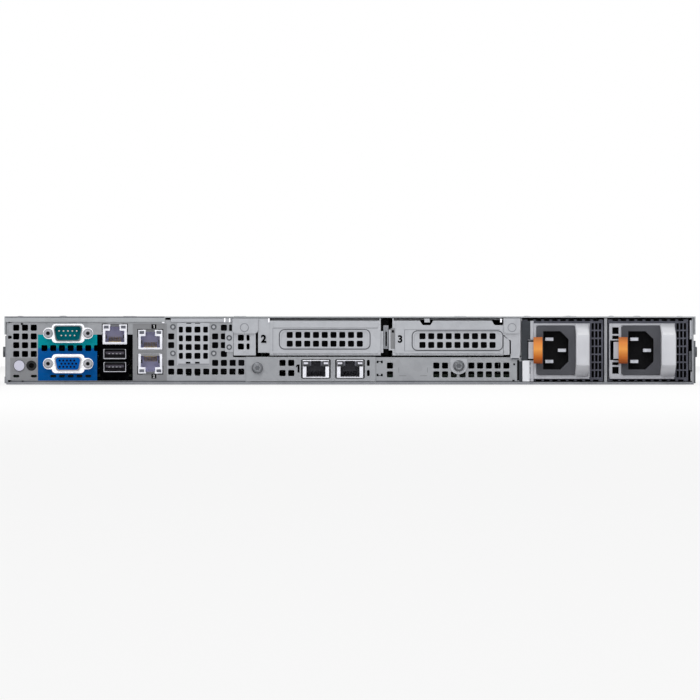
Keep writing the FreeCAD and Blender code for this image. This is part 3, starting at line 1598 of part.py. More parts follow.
def build():
    os.makedirs("parts", exist_ok=True)
    save("chassis_tray", [chassis_tray()])
    save("rail_studs", rail_studs())
    save("rear_panel", rear_panel())
    save("rear_plates", [vent_plate(), riveted_plate(), screw_tab()])
    save("rear_rivets", rear_rivets())
    save("dsub_shells", [dsub_shell(serial_z), dsub_shell(vga_z)])
    save("serial_insert", [dsub_insert(serial_z, serial_recess)])
    save("vga_insert", [vga_insert()])
    save("jack_screws", jack_screws())
    save("port_contacts", port_contacts())
    save("network_jacks", network_jacks())
    save("riser_jacks", riser_jacks())
    save("usb_ports", [usb_ports()])
    save("id_jack", [id_jack()])
    save("id_button", [id_button()])
    save("riser_2_cage", [riser_2_cage()])
    save("riser_3_cage", [riser_3_cage()])
    save("slot_fillers", slot_fillers())
    save("lom_bracket", [lom_bracket()])
    save("cards", cards())
    save("captive_screws", captive_screws())
    save("psu_bay", [psu_bay()])
    for name, left in (("psu_1", psu_1_left), ("psu_2", psu_2_left)):
        save(name + "_case", [psu_case(left)])
        save(name + "_inlet", psu_inlet(left))
        save(name + "_handle", [psu_handle(left)])
        save(name + "_latch", psu_latch(left))
    save("system_board", system_board())
    save("heat_sinks", [heat_sink(side * cpu_half_spacing) for side in (-1, 1)])
    save("memory_modules", [memory_module(x) for x in memory_places()])
    save("air_shroud", air_shroud())
    save("fan_cage", [fan_cage()])
    save("fan_frames", [fan_frame(x) for x in fan_places()])
    for i, x in enumerate(fan_places()):
        save("rotor_%d" % (i + 1), [fan_rotor(x)])
    save("drive_cage", [drive_cage()])
    save("drive_backplane", [drive_backplane()])
    for i, x in enumerate(bay_centres()):
        number = i + 1
        if number <= 2:
            save("carrier_%d" % number, [carrier(x)])
            save("disk_%d" % number, [disk(x)])
            save("handle_%d" % number, [handle(x)])
            save("button_%d" % number, [carrier_button(x)])
        else:
            save("blank_%d" % number, [bay_blank(x)])
    save("rack_ears", [rack_ear(-1), rack_ear(1)])
    save("left_control_panel", [left_control_panel()])
    save("right_control_panel", [right_control_panel()])
    save("power_button", [power_button()])
    save("top_cover", [top_cover()])
    save("cover_latch", [cover_latch()])


build()
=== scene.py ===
# Looks of a one-unit rack server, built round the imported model. The rear faces -Y, the front +Y, +Z is up.
import json
import math

import bmesh
import bpy
from mathutils import Matrix, Vector

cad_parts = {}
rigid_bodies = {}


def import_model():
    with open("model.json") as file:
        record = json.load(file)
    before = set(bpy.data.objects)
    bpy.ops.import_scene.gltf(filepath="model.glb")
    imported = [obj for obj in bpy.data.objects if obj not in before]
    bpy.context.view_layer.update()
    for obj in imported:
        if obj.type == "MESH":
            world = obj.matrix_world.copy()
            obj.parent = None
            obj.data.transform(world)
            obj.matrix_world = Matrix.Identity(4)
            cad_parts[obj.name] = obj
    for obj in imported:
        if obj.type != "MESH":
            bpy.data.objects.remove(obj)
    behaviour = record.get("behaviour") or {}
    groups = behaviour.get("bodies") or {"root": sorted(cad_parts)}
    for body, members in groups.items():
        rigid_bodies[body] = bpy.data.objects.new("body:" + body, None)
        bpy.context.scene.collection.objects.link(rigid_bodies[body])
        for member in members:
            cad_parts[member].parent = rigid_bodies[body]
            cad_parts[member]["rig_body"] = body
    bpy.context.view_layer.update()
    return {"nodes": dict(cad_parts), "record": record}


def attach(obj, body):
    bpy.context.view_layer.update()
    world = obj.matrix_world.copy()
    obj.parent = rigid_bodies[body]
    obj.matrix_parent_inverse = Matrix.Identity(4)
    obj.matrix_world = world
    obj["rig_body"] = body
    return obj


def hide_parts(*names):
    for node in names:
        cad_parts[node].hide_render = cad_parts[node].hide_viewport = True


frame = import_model()
scene = bpy.context.scene
scene.view_settings.view_transform = "Standard"

# Places are in millimetres and become metres through mm
mm = 0.001
rear_y = -328.5
front_y = 328.5
weld_gap = 0.002
endless = math.inf
flat_angle = math.radians(0.5)
sharp_angle = math.radians(32)

# Rear panel and its printed label
film_thickness = 0.12
digit_depth = 0.006
vent_corner = 0.7
film_left = -196.0
film_black_left = -158.8
film_grey_left = -136.4
film_right = -115.0
film_bottom = 2.5
film_top = 31.4
film_grey_top = 38.2

# Faces of the rear sheets, and how far cuts, marks and shades rise from them
plate_face = rear_y - 0.8
filler_face = rear_y - 1.6
mark_face = rear_y - 0.05
shade_rise = 0.06
captive_places = ((-58.2, 10.5, rear_y - 1.0), (68.3, 11.8, plate_face))

# Vented windows of the second and third slot; the third one sits a little lower than its solid
window_places = ((-15.85, 28.4), (67.5, 27.6))
window_drop = 0.8

# Ports
serial_spread = (1.06, 1, 1.12)
dsub_x = -177.0
serial_z = 32.175
display_z = 13.113
display_face = rear_y - 5.9
jack_screw_places = [(dsub_x + side * 12.495, z) for side in (-1, 1) for z in (serial_z, display_z)]
management_x = -147.7
management_z = 31.595
lan_x = -125.4
lan_upper_z = 28.185
lan_lower_z = 13.011
usb_places = (19.217, 10.897)
card_jack_x = (-21.4, 0.0)
card_jack_z = 9.8
jack_mouth = rear_y - 0.6
card_mouth = rear_y - 1.6
serial_seat = rear_y - 1.2
# Network jacks of the panel and of the card as (x, z, way up)
panel_jacks = ((management_x, management_z, 1), (lan_x, lan_upper_z, 1), (lan_x, lan_lower_z, -1))
card_jacks = [(x, card_jack_z, 1) for x in card_jack_x]

# Power supplies
supply_left = {"psu_1": 108.6, "psu_2": 162.0}
supply_mid = 21.5
supply_case_rear = rear_y + 3.5
supply_face_rear = rear_y - 0.6
# How far the left and the right edge of each strap move
strap_shifts = {"psu_1": (-0.8, -0.9), "psu_2": (-0.8, -0.2)}

# Cover and board
cover_top = 42.75
board_top = 6.6
processor_places = (-98, 98)
module_places = [cpu + side * (46 + row * 7.6)
                 for cpu in processor_places for side in (-1, 1) for row in range(4)]

# Front
bezel_front = 337.5
bezel_mid = 15.4
carrier_places = {1: -159.0, 2: -53.0}
blank_places = {3: 53.0, 4: 159.0}
control_x = 220.4


# Finishes

def tone(red, green, blue):
    linear = []
    for part in (red, green, blue):
        share = part / 255
        linear.append(share / 12.92 if share <= 0.04045 else ((share + 0.055) / 1.055) ** 2.4)
    return (*linear, 1.0)


def new_finish(name, rough, metal=0.0, gloss=0.5):
    finish = bpy.data.materials.new(name)
    finish.use_nodes = True
    shader = finish.node_tree.nodes["Principled BSDF"]
    shader.inputs["Roughness"].default_value = rough
    shader.inputs["Metallic"].default_value = metal
    shader.inputs["Specular IOR Level"].default_value = gloss
    return finish


def add_pattern(finish, kind, scale, stretch=(1, 1, 1), turn=(0, 0, 0)):
    tree = finish.node_tree
    where = tree.nodes.new("ShaderNodeTexCoord")
    place = tree.nodes.new("ShaderNodeMapping")
    place.inputs["Scale"].default_value = stretch
    place.inputs["Rotation"].default_value = turn
    tree.links.new(where.outputs["Object"], place.inputs["Vector"])
    texture = tree.nodes.new(kind)
    texture.inputs["Scale"].default_value = scale
    tree.links.new(place.outputs["Vector"], texture.inputs["Vector"])
    return texture


def noise(finish, scale, stretch=(1, 1, 1)):
    return add_pattern(finish, "ShaderNodeTexNoise", scale, stretch).outputs["Fac"]


def spread(finish, value, low, high, to_low=0.0, to_high=1.0):
    tree = finish.node_tree
    stretch = tree.nodes.new("ShaderNodeMapRange")
    for name, limit in (("From Min", low), ("From Max", high), ("To Min", to_low), ("To Max", to_high)):
        stretch.inputs[name].default_value = limit
    tree.links.new(value, stretch.inputs["Value"])
    return stretch.outputs["Result"]


def add_maths(tree, operation, *values):
    node = tree.nodes.new("ShaderNodeMath")
    node.operation = operation
    for socket, value in zip(node.inputs, values):
        if isinstance(value, float):
            socket.default_value = value
        else:
            tree.links.new(value, socket)
    return node.outputs[0]


def set_input(finish, name, output):
    tree = finish.node_tree
    tree.links.new(output, tree.nodes["Principled BSDF"].inputs[name])


def set_colour(finish, factor, first, second):
    # A blend of two colours, each a triple from 0 to 255 or the output of another node
    set_input(finish, "Base Color", blend_tones(finish, factor, first, second))


def blend_tones(finish, factor, first, second):
    tree = finish.node_tree
    mix = tree.nodes.new("ShaderNodeMix")
    mix.data_type = "RGBA"
    tree.links.new(factor, mix.inputs[0])
    for socket, shade in ((mix.inputs[6], first), (mix.inputs[7], second)):
        if isinstance(shade, tuple):
            socket.default_value = tone(*shade)
        else:
            tree.links.new(shade, socket)
    return mix.outputs[2]


def set_bump(finish, height, strength, depth):
    tree = finish.node_tree
    bump = tree.nodes.new("ShaderNodeBump")
    bump.inputs["Strength"].default_value = strength
    bump.inputs["Distance"].default_value = depth * mm
    tree.links.new(height, bump.inputs["Height"])
    set_input(finish, "Normal", bump.outputs["Normal"])


def set_grain(finish, height, rough_low, rough_high, strength, depth, low=0.3, high=0.7):
    # One pattern drives both the gloss and a fine relief
    set_input(finish, "Roughness", spread(finish, height, low, high, rough_low, rough_high))
    set_bump(finish, height, strength, depth)


def sheet_metal(name, dark, light, rough, metal=0.6):
    # Zinc spangle in the colour, rolling marks along the sheet in the gloss
    finish = new_finish(name, rough, metal, 0.2)
    tree = finish.node_tree
    spangle = add_pattern(finish, "ShaderNodeTexVoronoi", 240, (1, 0.6, 1))
    parts = tree.nodes.new("ShaderNodeSeparateColor")
    tree.links.new(spangle.outputs["Color"], parts.inputs["Color"])
    shade = spread(finish, spread(finish, parts.outputs["Red"], 0, 1, 0.2, 0.8), 0, 1, 0.0, 0.55)
    patch = spread(finish, noise(finish, 22, (1, 0.4, 1)), 0.3, 0.7)
    set_colour(finish, add_maths(tree, "MULTIPLY_ADD", patch, 0.45, shade), dark, light)
    set_grain(finish, noise(finish, 90, (6, 0.25, 6)), rough - 0.08, rough + 0.1, 0.12, 0.05, 0.25, 0.75)
    return finish


def plated_metal(name, dark, light, rough):
    finish = new_finish(name, rough, 1.0)
    set_colour(finish, spread(finish, noise(finish, 260), 0.3, 0.7), dark, light)
    set_grain(finish, noise(finish, 700, (1, 1, 5)), rough - 0.06, rough + 0.1, 0.06, 0.03)
    return finish


def moulded_plastic(name, dark, light, rough, gloss=0.25, grain=0.06):
    # Spark-eroded mould grain with a slight cloud in the colour
    finish = new_finish(name, rough, 0.0, gloss)
    set_colour(finish, spread(finish, noise(finish, 60), 0.3, 0.7), dark, light)
    set_grain(finish, noise(finish, 1600), rough - 0.07, rough + 0.08, 0.25, grain)
    return finish


def height_ramp(finish, low, high, stops):
    # Colour by height on the object, from low to high in millimetres
    tree = finish.node_tree
    where = tree.nodes.new("ShaderNodeTexCoord")
    parts = tree.nodes.new("ShaderNodeSeparateXYZ")
    tree.links.new(where.outputs["Object"], parts.inputs["Vector"])
    share = spread(finish, parts.outputs["Z"], low * mm, high * mm)
    ramp = tree.nodes.new("ShaderNodeValToRGB")
    elements = ramp.color_ramp.elements
    while len(elements) < len(stops):
        elements.new(0.5)
    for element, (spot, shade) in zip(elements, stops):
        element.position = spot
        element.color = tone(*shade)
    tree.links.new(share, ramp.inputs["Fac"])
    return ramp.outputs["Color"]


def latch_orange_painted_light(name):
    # Foot, belly, crown, shoulder and top of the curved release arm, darker and paler by height as painted
    # shade and highlight; rubbed paler
    finish = new_finish(name, 0.38, 0.0, 0.3)
    stops = ((0.0, (118, 50, 2)), (0.24, (194, 98, 14)), (0.54, (238, 158, 70)), (0.78, (224, 134, 54)),
             (1.0, (166, 84, 20)))
    base = height_ramp(finish, supply_mid - 8.3, supply_mid + 8.3, stops)
    rub = spread(finish, noise(finish, 180, (1, 1, 3)), 0.45, 0.8, 0.0, 0.2)
    set_colour(finish, rub, base, (228, 152, 84))
    set_grain(finish, noise(finish, 1400), 0.32, 0.46, 0.2, 0.04)
    return finish


def printed_ink(name, base, rough, wear=0.03, gloss=0.12):
    finish = new_finish(name, rough, 0.0, gloss)
    scuff = spread(finish, noise(finish, 240, (1, 1, 2)), 0.45, 0.8, 0.0, wear)
    set_colour(finish, scuff, base if isinstance(base, tuple) else base(finish), (150, 160, 168))
    set_grain(finish, noise(finish, 1200), rough - 0.06, rough + 0.08, 0.12, 0.02)
    return finish


def teal_to_blue(finish):
    stops = ((0.0, (0, 80, 148)), (0.69, (0, 84, 156)), (0.72, (0, 142, 154)), (1.0, (0, 144, 156)))
    return height_ramp(finish, film_bottom, film_top, stops)


def circuit_board(name):
    # Solder mask over copper runs and tinned pads
    finish = new_finish(name, 0.35)
    runs = add_pattern(finish, "ShaderNodeTexBrick", 110, (1, 1, 1), (0, 0, math.radians(45)))
    runs.inputs["Mortar Size"].default_value = 0.03
    mask = blend_tones(finish, runs.outputs["Fac"], (16, 62, 44), (34, 96, 62))
    pads = add_pattern(finish, "ShaderNodeTexVoronoi", 330)
    spots = spread(finish, pads.outputs["Distance"], 0.10, 0.14, 1.0, 0.0)
    set_colour(finish, spots, mask, (176, 168, 128))
    set_input(finish, "Roughness", spread(finish, noise(finish, 45), 0.3, 0.7, 0.28, 0.45))
    set_bump(finish, runs.outputs["Fac"], 0.3, 0.05)
    return finish


zinc = sheet_metal("galvanised_sheet", (140, 142, 146), (156, 158, 162), 0.42)
slot_zinc = sheet_metal("slot_cover_sheet", (161, 163, 168), (174, 176, 181), 0.4)
# Darker sheet, also used as painted shade
dim_zinc_and_shade = sheet_metal("dim_sheet_and_painted_shade", (84, 86, 90), (100, 102, 106), 0.5)
# Mid grey sheet, also used as painted shade
mid_zinc_and_shade = sheet_metal("mid_sheet_and_painted_shade", (124, 126, 131), (142, 144, 149), 0.45)
cover_zinc = sheet_metal("cover_sheet", (157, 160, 163), (173, 176, 180), 0.5, 0.4)
supply_zinc = sheet_metal("supply_sheet", (160, 161, 167), (176, 177, 183), 0.4)
shaded_supply_zinc = sheet_metal("shaded_supply_sheet", (74, 75, 84), (94, 95, 105), 0.45)
ear_steel = sheet_metal("painted_ear_steel", (40, 41, 44), (54, 55, 58), 0.5, 0.3)
edge_shade_steel = sheet_metal("cover_edge_painted_shade", (88, 91, 92), (108, 111, 112), 0.45)
blade_nickel = plated_metal("blade_nickel", (150, 152, 160), (182, 184, 191), 0.34)
nickel = plated_metal("nickel_plate", (222, 222, 227), (236, 236, 240), 0.26)
jack_plate = plated_metal("jack_plate", (196, 197, 204), (216, 217, 223), 0.3)
dull_nickel_and_shade = plated_metal("dull_nickel_and_shade", (136, 136, 142), (160, 160, 166), 0.34)
recess_floor_shade = plated_metal("recess_floor_shade", (82, 84, 88), (102, 104, 108), 0.4)
head_steel = plated_metal("screw_head_steel", (110, 112, 116), (140, 142, 146), 0.36)
board_edge = moulded_plastic("board_edge", (16, 20, 17), (24, 28, 22), 0.6, 0.1)
gold = plated_metal("gold_contacts", (186, 164, 104), (222, 200, 138), 0.3)
serial_rim_shade = plated_metal("serial_rim_painted_shade", (84, 94, 98), (106, 116, 120), 0.36)
pin_plate = plated_metal("serial_pin_plate", (206, 190, 182), (228, 214, 206), 0.34)
usb_plate = plated_metal("usb_plate", (164, 165, 172), (188, 189, 195), 0.32)
aluminium = plated_metal("sink_aluminium", (186, 188, 192), (208, 210, 214), 0.34)
drive_cast = sheet_metal("drive_casting", (118, 120, 124), (138, 140, 144), 0.48, 0.5)
teal_insert = moulded_plastic("teal_insert", (0, 116, 130), (2, 128, 142), 0.5, 0.03)
blue_insert = moulded_plastic("blue_insert", (0, 80, 162), (2, 92, 176), 0.5, 0.03)
# Inside of the panel's network jacks, painted much paler than its plastic: painted light in the cavities
jack_inner_painted_light = moulded_plastic("jack_inner_painted_light", (196, 196, 224), (212, 212, 238), 0.5)
card_jack_inner = moulded_plastic("card_jack_inner", (80, 81, 90), (92, 93, 102), 0.5)
port_dark = moulded_plastic("port_dark", (58, 54, 64), (72, 68, 80), 0.5)
lamp_smoke = moulded_plastic("lamp_smoke", (92, 94, 104), (110, 112, 122), 0.3)
lamp_white = moulded_plastic("lamp_white", (214, 214, 226), (230, 230, 240), 0.35)
black_plastic = moulded_plastic("black_plastic", (24, 25, 27), (34, 35, 38), 0.5)
socket_shade_black = moulded_plastic("socket_shade_black", (14, 14, 17), (22, 22, 26), 0.5, 0.12)
# Black for the inside of holes, cuts, gaps and recesses: painted shade
recess_shade_black = moulded_plastic("recess_shade_black", (6, 6, 8), (10, 10, 12), 0.6, 0.05)
# Black for the sheets behind the vents: painted shade
vent_shade_black = moulded_plastic("vent_shade_black", (8, 8, 9), (15, 15, 16), 0.9, 0.03, 0.5)
chip_black = moulded_plastic("chip_black", (20, 20, 22), (32, 32, 35), 0.55, 0.2)
choke_grey = moulded_plastic("choke_grey", (66, 67, 70), (84, 85, 88), 0.6, 0.2)
clip_white = moulded_plastic("clip_white", (206, 203, 194), (220, 217, 208), 0.5)
lens_green = moulded_plastic("lens_green", (66, 112, 80), (84, 132, 96), 0.25, 0.5, 0.02)
lens_amber = moulded_plastic("lens_amber", (168, 112, 36), (188, 130, 52), 0.25, 0.5, 0.02)
# Dark grey; also painted shade in bores, recess walls and over the USB ports' tops
dark_grey_and_shade = moulded_plastic("dark_grey_and_shade", (44, 46, 49), (58, 60, 63), 0.5, 0.2)
inlet_grey = moulded_plastic("inlet_grey", (68, 69, 75), (80, 81, 87), 0.48)
orange = latch_orange_painted_light("latch_orange_painted_light")
button_white = moulded_plastic("button_white", (200, 200, 216), (214, 214, 228), 0.4)
strap_grey = moulded_plastic("strap_grey", (200, 201, 207), (216, 217, 223), 0.45)
mid_grey = moulded_plastic("mid_grey_plastic", (118, 120, 124), (134, 136, 140), 0.5)
touch_blue = moulded_plastic("touch_blue", (38, 92, 168), (52, 108, 184), 0.45)
board_green = circuit_board("board_green")
ink_teal_blue = printed_ink("ink_teal_blue", teal_to_blue, 0.42, 0.02, 0.03)
ink_black = printed_ink("ink_black", (2, 2, 3), 0.5, 0.008, 0.0)
grey_print_and_shade = printed_ink("grey_print_and_shade", (136, 137, 140), 0.5)
ink_white = printed_ink("ink_white", (236, 238, 243), 0.45)
ink_pale = printed_ink("ink_pale", (190, 191, 194), 0.5)
# Grey for painted shade lines
shade_line_grey = printed_ink("shade_line_grey", (98, 99, 104), 0.6)
scribe_and_shade_grey = printed_ink("scribe_and_shade_grey", (112, 113, 117), 0.55)
strip_dark = printed_ink("strip_dark", (58, 61, 66), 0.45)

slot_finish = {
    "zinc_steel": zinc, "cover_steel": cover_zinc, "bright_plate": nickel, "aluminium": aluminium,
    "psu_metal": supply_zinc, "teal_plastic": teal_insert, "blue_plastic": blue_insert, "gold_contact": gold,
    "dark_plastic": black_plastic, "inlet_plastic": inlet_grey, "orange_plastic": orange,
    "white_plastic": button_white, "strap_plastic": strap_grey, "grey_plastic": mid_grey,
    "blue_touch": touch_blue, "board_green": board_green, "ear_metal": ear_steel, "drive_metal": drive_cast}
node_slot = {part["node"]: part["material_slot"] for part in frame["record"]["subparts"]}


# Making pieces

def add_piece(name, mesh, body, finishes):
    data = bpy.data.meshes.new(name)
    mesh.to_mesh(data)
    mesh.free()
    if "custom_normal" in data.attributes:
        data.attributes.remove(data.attributes["custom_normal"])
    piece = bpy.data.objects.new(name, data)
    scene.collection.objects.link(piece)
    for finish in finishes:
        data.materials.append(finish)
    data.shade_smooth()
    data.set_sharp_from_angle(angle=sharp_angle)
    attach(piece, body)
    return piece


def soften(piece, width, steps=2):
    bevel = piece.modifiers.new("edges", "BEVEL")
    bevel.width = width * mm
    bevel.segments = steps
    bevel.limit_method = "ANGLE"
    bevel.angle_limit = sharp_angle
    bevel.harden_normals = True


def merged_copy(node):
    mesh = bmesh.new()
    mesh.from_mesh(frame["nodes"][node].data)
    bmesh.ops.remove_doubles(mesh, verts=mesh.verts[:], dist=weld_gap * mm)
    bmesh.ops.dissolve_limit(mesh, angle_limit=flat_angle, verts=mesh.verts[:], edges=mesh.edges[:])
    # Wide faces round many holes are cut up, so that the edge bevel keeps them whole
    wide = [f for f in mesh.faces if len(f.verts) > 12]
    bmesh.ops.triangulate(mesh, faces=wide, quad_method="BEAUTY", ngon_method="BEAUTY")
    for face in mesh.faces:
        face.material_index = 0
    return mesh


def vent_corners(mesh, radius):
    picked = []
    for edge in mesh.edges:
        run = edge.verts[1].co - edge.verts[0].co
        if len(edge.link_faces) != 2 or edge.is_convex or abs(run.y) < 0.99 * run.length:
            continue
        if edge.calc_face_angle() < 1.0 or run.length > 2 * mm:
            continue
        sides = [e.calc_length() for v in edge.verts for e in v.link_edges
                 if e is not edge and len(e.link_faces) == 2 and e.calc_face_angle() > 0.5]
        if min(sides) > 2.05 * radius * mm:
            picked.append(edge)
    return picked


def round_vents(mesh, radius):
    # The flat faces round the vents are taken off, the corners rounded, and the flats filled again
    picked = vent_corners(mesh, radius)
    waiting = [f for e in picked for v in e.verts for f in v.link_faces if abs(f.normal.y) > 0.99]
    flats = set(waiting)
    while waiting:
        face = waiting.pop()
        for near in (f for e in face.edges for f in e.link_faces):
            if near not in flats and near.normal.dot(face.normal) > 0.999:
                flats.add(near)
                waiting.append(near)
    levels = {(round(f.calc_center_median().y / mm, 2), round(f.normal.y)) for f in flats}
    bmesh.ops.delete(mesh, geom=list(flats), context="FACES")
    bmesh.ops.bevel(mesh, geom=picked, offset=radius * mm, offset_type="OFFSET", segments=3, profile=0.5,
                    affect="EDGES", clamp_overlap=False, material=-1)
    for level, side in sorted(levels):
        rim = [e for e in mesh.edges
               if e.is_boundary and all(abs(v.co.y / mm - level) < 0.02 for v in e.verts)]
        bmesh.ops.triangle_fill(mesh, edges=rim, use_beauty=True, use_dissolve=False, normal=(0, side, 0))
    bmesh.ops.recalc_face_normals(mesh, faces=mesh.faces[:])


def dress(node, edge=0.2, steps=2, corner=0.0, zones=(), finish=None, mesh=None):
    # The node's own shape with softened edges; zones are (finish, rule) pairs for parts of another finish
    mesh = mesh or merged_copy(node)
    if corner:
        round_vents(mesh, corner)
    finishes = [finish or slot_finish[node_slot[node]]]
    for zone_finish, rule in zones:
        finishes.append(zone_finish)
        for face in mesh.faces:
            if rule(face.calc_center_median() / mm, face.normal):
                face.material_index = len(finishes) - 1
    body = frame["nodes"][node]["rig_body"]
    piece = add_piece(node + "_dressed", mesh, body, finishes)
    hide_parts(node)
    if edge:
        soften(piece, edge, steps)


def around(middle, reach):
    return middle - reach, middle + reach


def span(middle, side, near, far):
    # Lower and upper end of a stretch on one side of a middle
    return sorted((middle + side * near, middle + side * far))


def within(x=(-endless, endless), y=(-endless, endless), z=(-endless, endless), rear_only=False):
    # Rule for the faces whose middle lies between these limits, or for those of them that look to the rear
    def rule(centre, normal):
        inside = all(low < place < high for place, (low, high) in zip(centre, (x, y, z)))
        return inside and (normal.y < -0.9 or not rear_only)
    return rule


def either(*rules):
    def rule(centre, normal):
        return any(part(centre, normal) for part in rules)
    return rule


def at(x, y, z):
    return Matrix.Translation(Vector((x, y, z)) * mm)


def facing_rear(x, y, z):
    # Sets what is made flat on the ground up to look along -Y, at this place
    return at(x, y, z) @ Matrix.Rotation(math.pi / 2, 4, "X")


def sheets(y0, y1, boxes):
    # Blocks between two depths; a box is (left, right, bottom, top)
    return [(x0, x1, y0, y1, z0, z1) for x0, x1, z0, z1 in boxes]


def linked_edges(verts):
    return list(dict.fromkeys(edge for vert in verts for edge in vert.link_edges))


def round_edges(mesh, edges, width, steps):
    bmesh.ops.bevel(mesh, geom=edges, offset=width * mm, offset_type="OFFSET", segments=steps, profile=0.5,
                    affect="EDGES", material=-1)


def add_block(mesh, x0, x1, y0, y1, z0, z1):
    size = Matrix.Diagonal(((x1 - x0) * mm, (y1 - y0) * mm, (z1 - z0) * mm, 1))
    middle = Matrix.Translation(((x0 + x1) / 2 * mm, (y0 + y1) / 2 * mm, (z0 + z1) / 2 * mm))
    return bmesh.ops.create_cube(mesh, size=1, matrix=middle @ size)["verts"]


def add_rod(mesh, stand, radius, length, sides, end_radius=None):
    end = end_radius or radius
    return bmesh.ops.create_cone(mesh, cap_ends=True, segments=sides, radius1=radius * mm, radius2=end * mm,
                                 depth=length * mm, matrix=stand)["verts"]


def add_dome(mesh, x, y, z, across, along, up, sides=16):
    squash = Matrix.Diagonal((across * mm, along * mm, up * mm, 1))
    bmesh.ops.create_uvsphere(mesh, u_segments=sides, v_segments=sides // 2, radius=1,
                              matrix=at(x, y, z) @ squash)


def add_plates(name, body, finish, edge, blocks):
    mesh = bmesh.new()
    for block in blocks:
        add_block(mesh, *block)
    piece = add_piece(name, mesh, body, [finish])
    if edge:
        soften(piece, edge)


def rear_sheet(name, slot, finish, edge, y0, y1, *boxes):
    add_plates(name, "chassis", finish, edge, sheets(y0, y1, boxes))


def add_border(mesh, x0, x1, y0, y1, z0, z1, width):
    # Four strips round the outside of a rectangle
    add_block(mesh, x0 - width, x1 + width, y0, y1, z1, z1 + width)
    add_block(mesh, x0 - width, x1 + width, y0, y1, z0 - width, z0)
    add_block(mesh, x0 - width, x0, y0, y1, z0, z1)
    add_block(mesh, x1, x1 + width, y0, y1, z0, z1)


def turned_piece(mesh, x, z, seat, rings):
    # A disc drawn out of its seat ring by ring; a ring is (radii that repeat round it, distance out)
    sides = 24
    disc = bmesh.ops.create_circle(mesh, cap_ends=True, segments=sides, radius=mm,
                                   matrix=facing_rear(x, seat, z))["verts"]
    face = disc[0].link_faces[0]
    for number, (radii, out) in enumerate(rings):
        if number:
            grown = bmesh.ops.extrude_face_region(mesh, geom=[face])["geom"]
            if number > 1:
                bmesh.ops.delete(mesh, geom=[face], context="FACES_ONLY")
            face = next(item for item in grown if isinstance(item, bmesh.types.BMFace))
        middle = Vector((x, seat - out, z)) * mm
        for vert in face.verts:
            spoke = Vector((vert.co.x - middle.x, 0, vert.co.z - middle.z)).normalized()
            step = round(math.atan2(spoke.z, spoke.x) * sides / math.tau)
            vert.co = middle + spoke * radii[step % len(radii)] * mm


def raise_faces(mesh, rise):
    # Flat faces that look along -Y become plates
    grown = bmesh.ops.extrude_face_region(mesh, geom=mesh.faces[:])["geom"]
    notch_shade_boxes = [v for v in grown if isinstance(v, bmesh.types.BMVert)]
    bmesh.ops.translate(mesh, vec=(0, -rise * mm, 0), verts=notch_shade_boxes)
    bmesh.ops.recalc_face_normals(mesh, faces=mesh.faces[:])


def add_disc(mesh, x, y, z, radius):
    bmesh.ops.create_circle(mesh, cap_ends=True, segments=24, radius=radius * mm, matrix=facing_rear(x, y, z))


def add_rounded(mesh, x, y, z, width, height, corner):
    stand = facing_rear(x, y, z)
    size = Matrix.Diagonal((width / 2 * mm, height / 2 * mm, mm, 1))
    sheet = bmesh.ops.create_grid(mesh, x_segments=1, y_segments=1, size=1, matrix=stand @ size)["verts"]
    bmesh.ops.bevel(mesh, geom=sheet, offset=corner * mm, offset_type="OFFSET", segments=6, profile=0.5,
                    affect="VERTICES", material=-1)


def keep_rims(mesh, width):
    # Flat faces become rings of this width
    middles = mesh.faces[:]
    bmesh.ops.inset_region(mesh, faces=middles, use_boundary=True, thickness=width * mm, use_even_offset=True)
    bmesh.ops.delete(mesh, geom=middles, context="FACES")


# Rear panel with its printed label

def printed_film(name, panel, x0, x1, z0, z1, finish):
    # The panel's rear face inside a rectangle, raised by the film's thickness
    film = panel.copy()
    others = [f for f in film.faces
              if f.normal.y > -0.99 or abs(f.calc_center_median().y / mm - rear_y) > 0.01]
    bmesh.ops.delete(film, geom=others, context="FACES")
    for spot, outward in (((x0, 0, 0), (-1, 0, 0)), ((x1, 0, 0), (1, 0, 0)),
                          ((0, 0, z0), (0, 0, -1)), ((0, 0, z1), (0, 0, 1))):
        geom = film.verts[:] + film.edges[:] + film.faces[:]
        bmesh.ops.bisect_plane(film, geom=geom, dist=0.0001 * mm, plane_co=Vector(spot) * mm,
                               plane_no=outward, clear_outer=True)
    raise_faces(film, film_thickness)
    add_piece(name, film, "chassis", [finish])


def printed_digit(name, digit, height, x, y, z, finish, weight=0.034):
    font_depth = 0.01
    letter = bpy.data.curves.new(name, "FONT")
    letter.body = digit
    letter.size = 1
    letter.offset = weight
    letter.align_x = "CENTER"
    letter.extrude = font_depth
    holder = bpy.data.objects.new(name, letter)
    scene.collection.objects.link(holder)
    bpy.context.view_layer.update()
    flat = bpy.data.meshes.new_from_object(holder.evaluated_get(bpy.context.evaluated_depsgraph_get()))
    bpy.data.objects.remove(holder)
    mesh = bmesh.new()
    mesh.from_mesh(flat)
    bmesh.ops.remove_doubles(mesh, verts=mesh.verts[:], dist=0.0001)
    low = min(v.co.y for v in mesh.verts)
    high = max(v.co.y for v in mesh.verts)
    size = height * mm / (high - low)
    centred = Matrix.Translation((0, -(low + high) / 2, 0))
    fit = Matrix.Diagonal((size, size, digit_depth * mm / font_depth, 1)) @ centred
    bmesh.ops.transform(mesh, matrix=facing_rear(x, y, z) @ fit, verts=mesh.verts[:])
    add_piece(name, mesh, "chassis", [finish])


def printed_one(name, height, x, y, z, finish):
    # A stem with a slanted flag, since the font's own figure is a bare stem; x is the stem's left edge
    mesh = bmesh.new()
    low, high = z - height / 2, z + height / 2
    add_block(mesh, x, x + 0.25 * height, y - digit_depth, y, low, high)
    flag = add_block(mesh, x - 0.19 * height, x, y - digit_depth, y, z + 0.27 * height, high)
    outer = [v for v in flag if v.co.x < (x - 0.1 * height) * mm]
    bmesh.ops.translate(mesh, vec=(0, 0, -0.17 * height * mm), verts=outer)
    add_piece(name, mesh, "chassis", [finish])


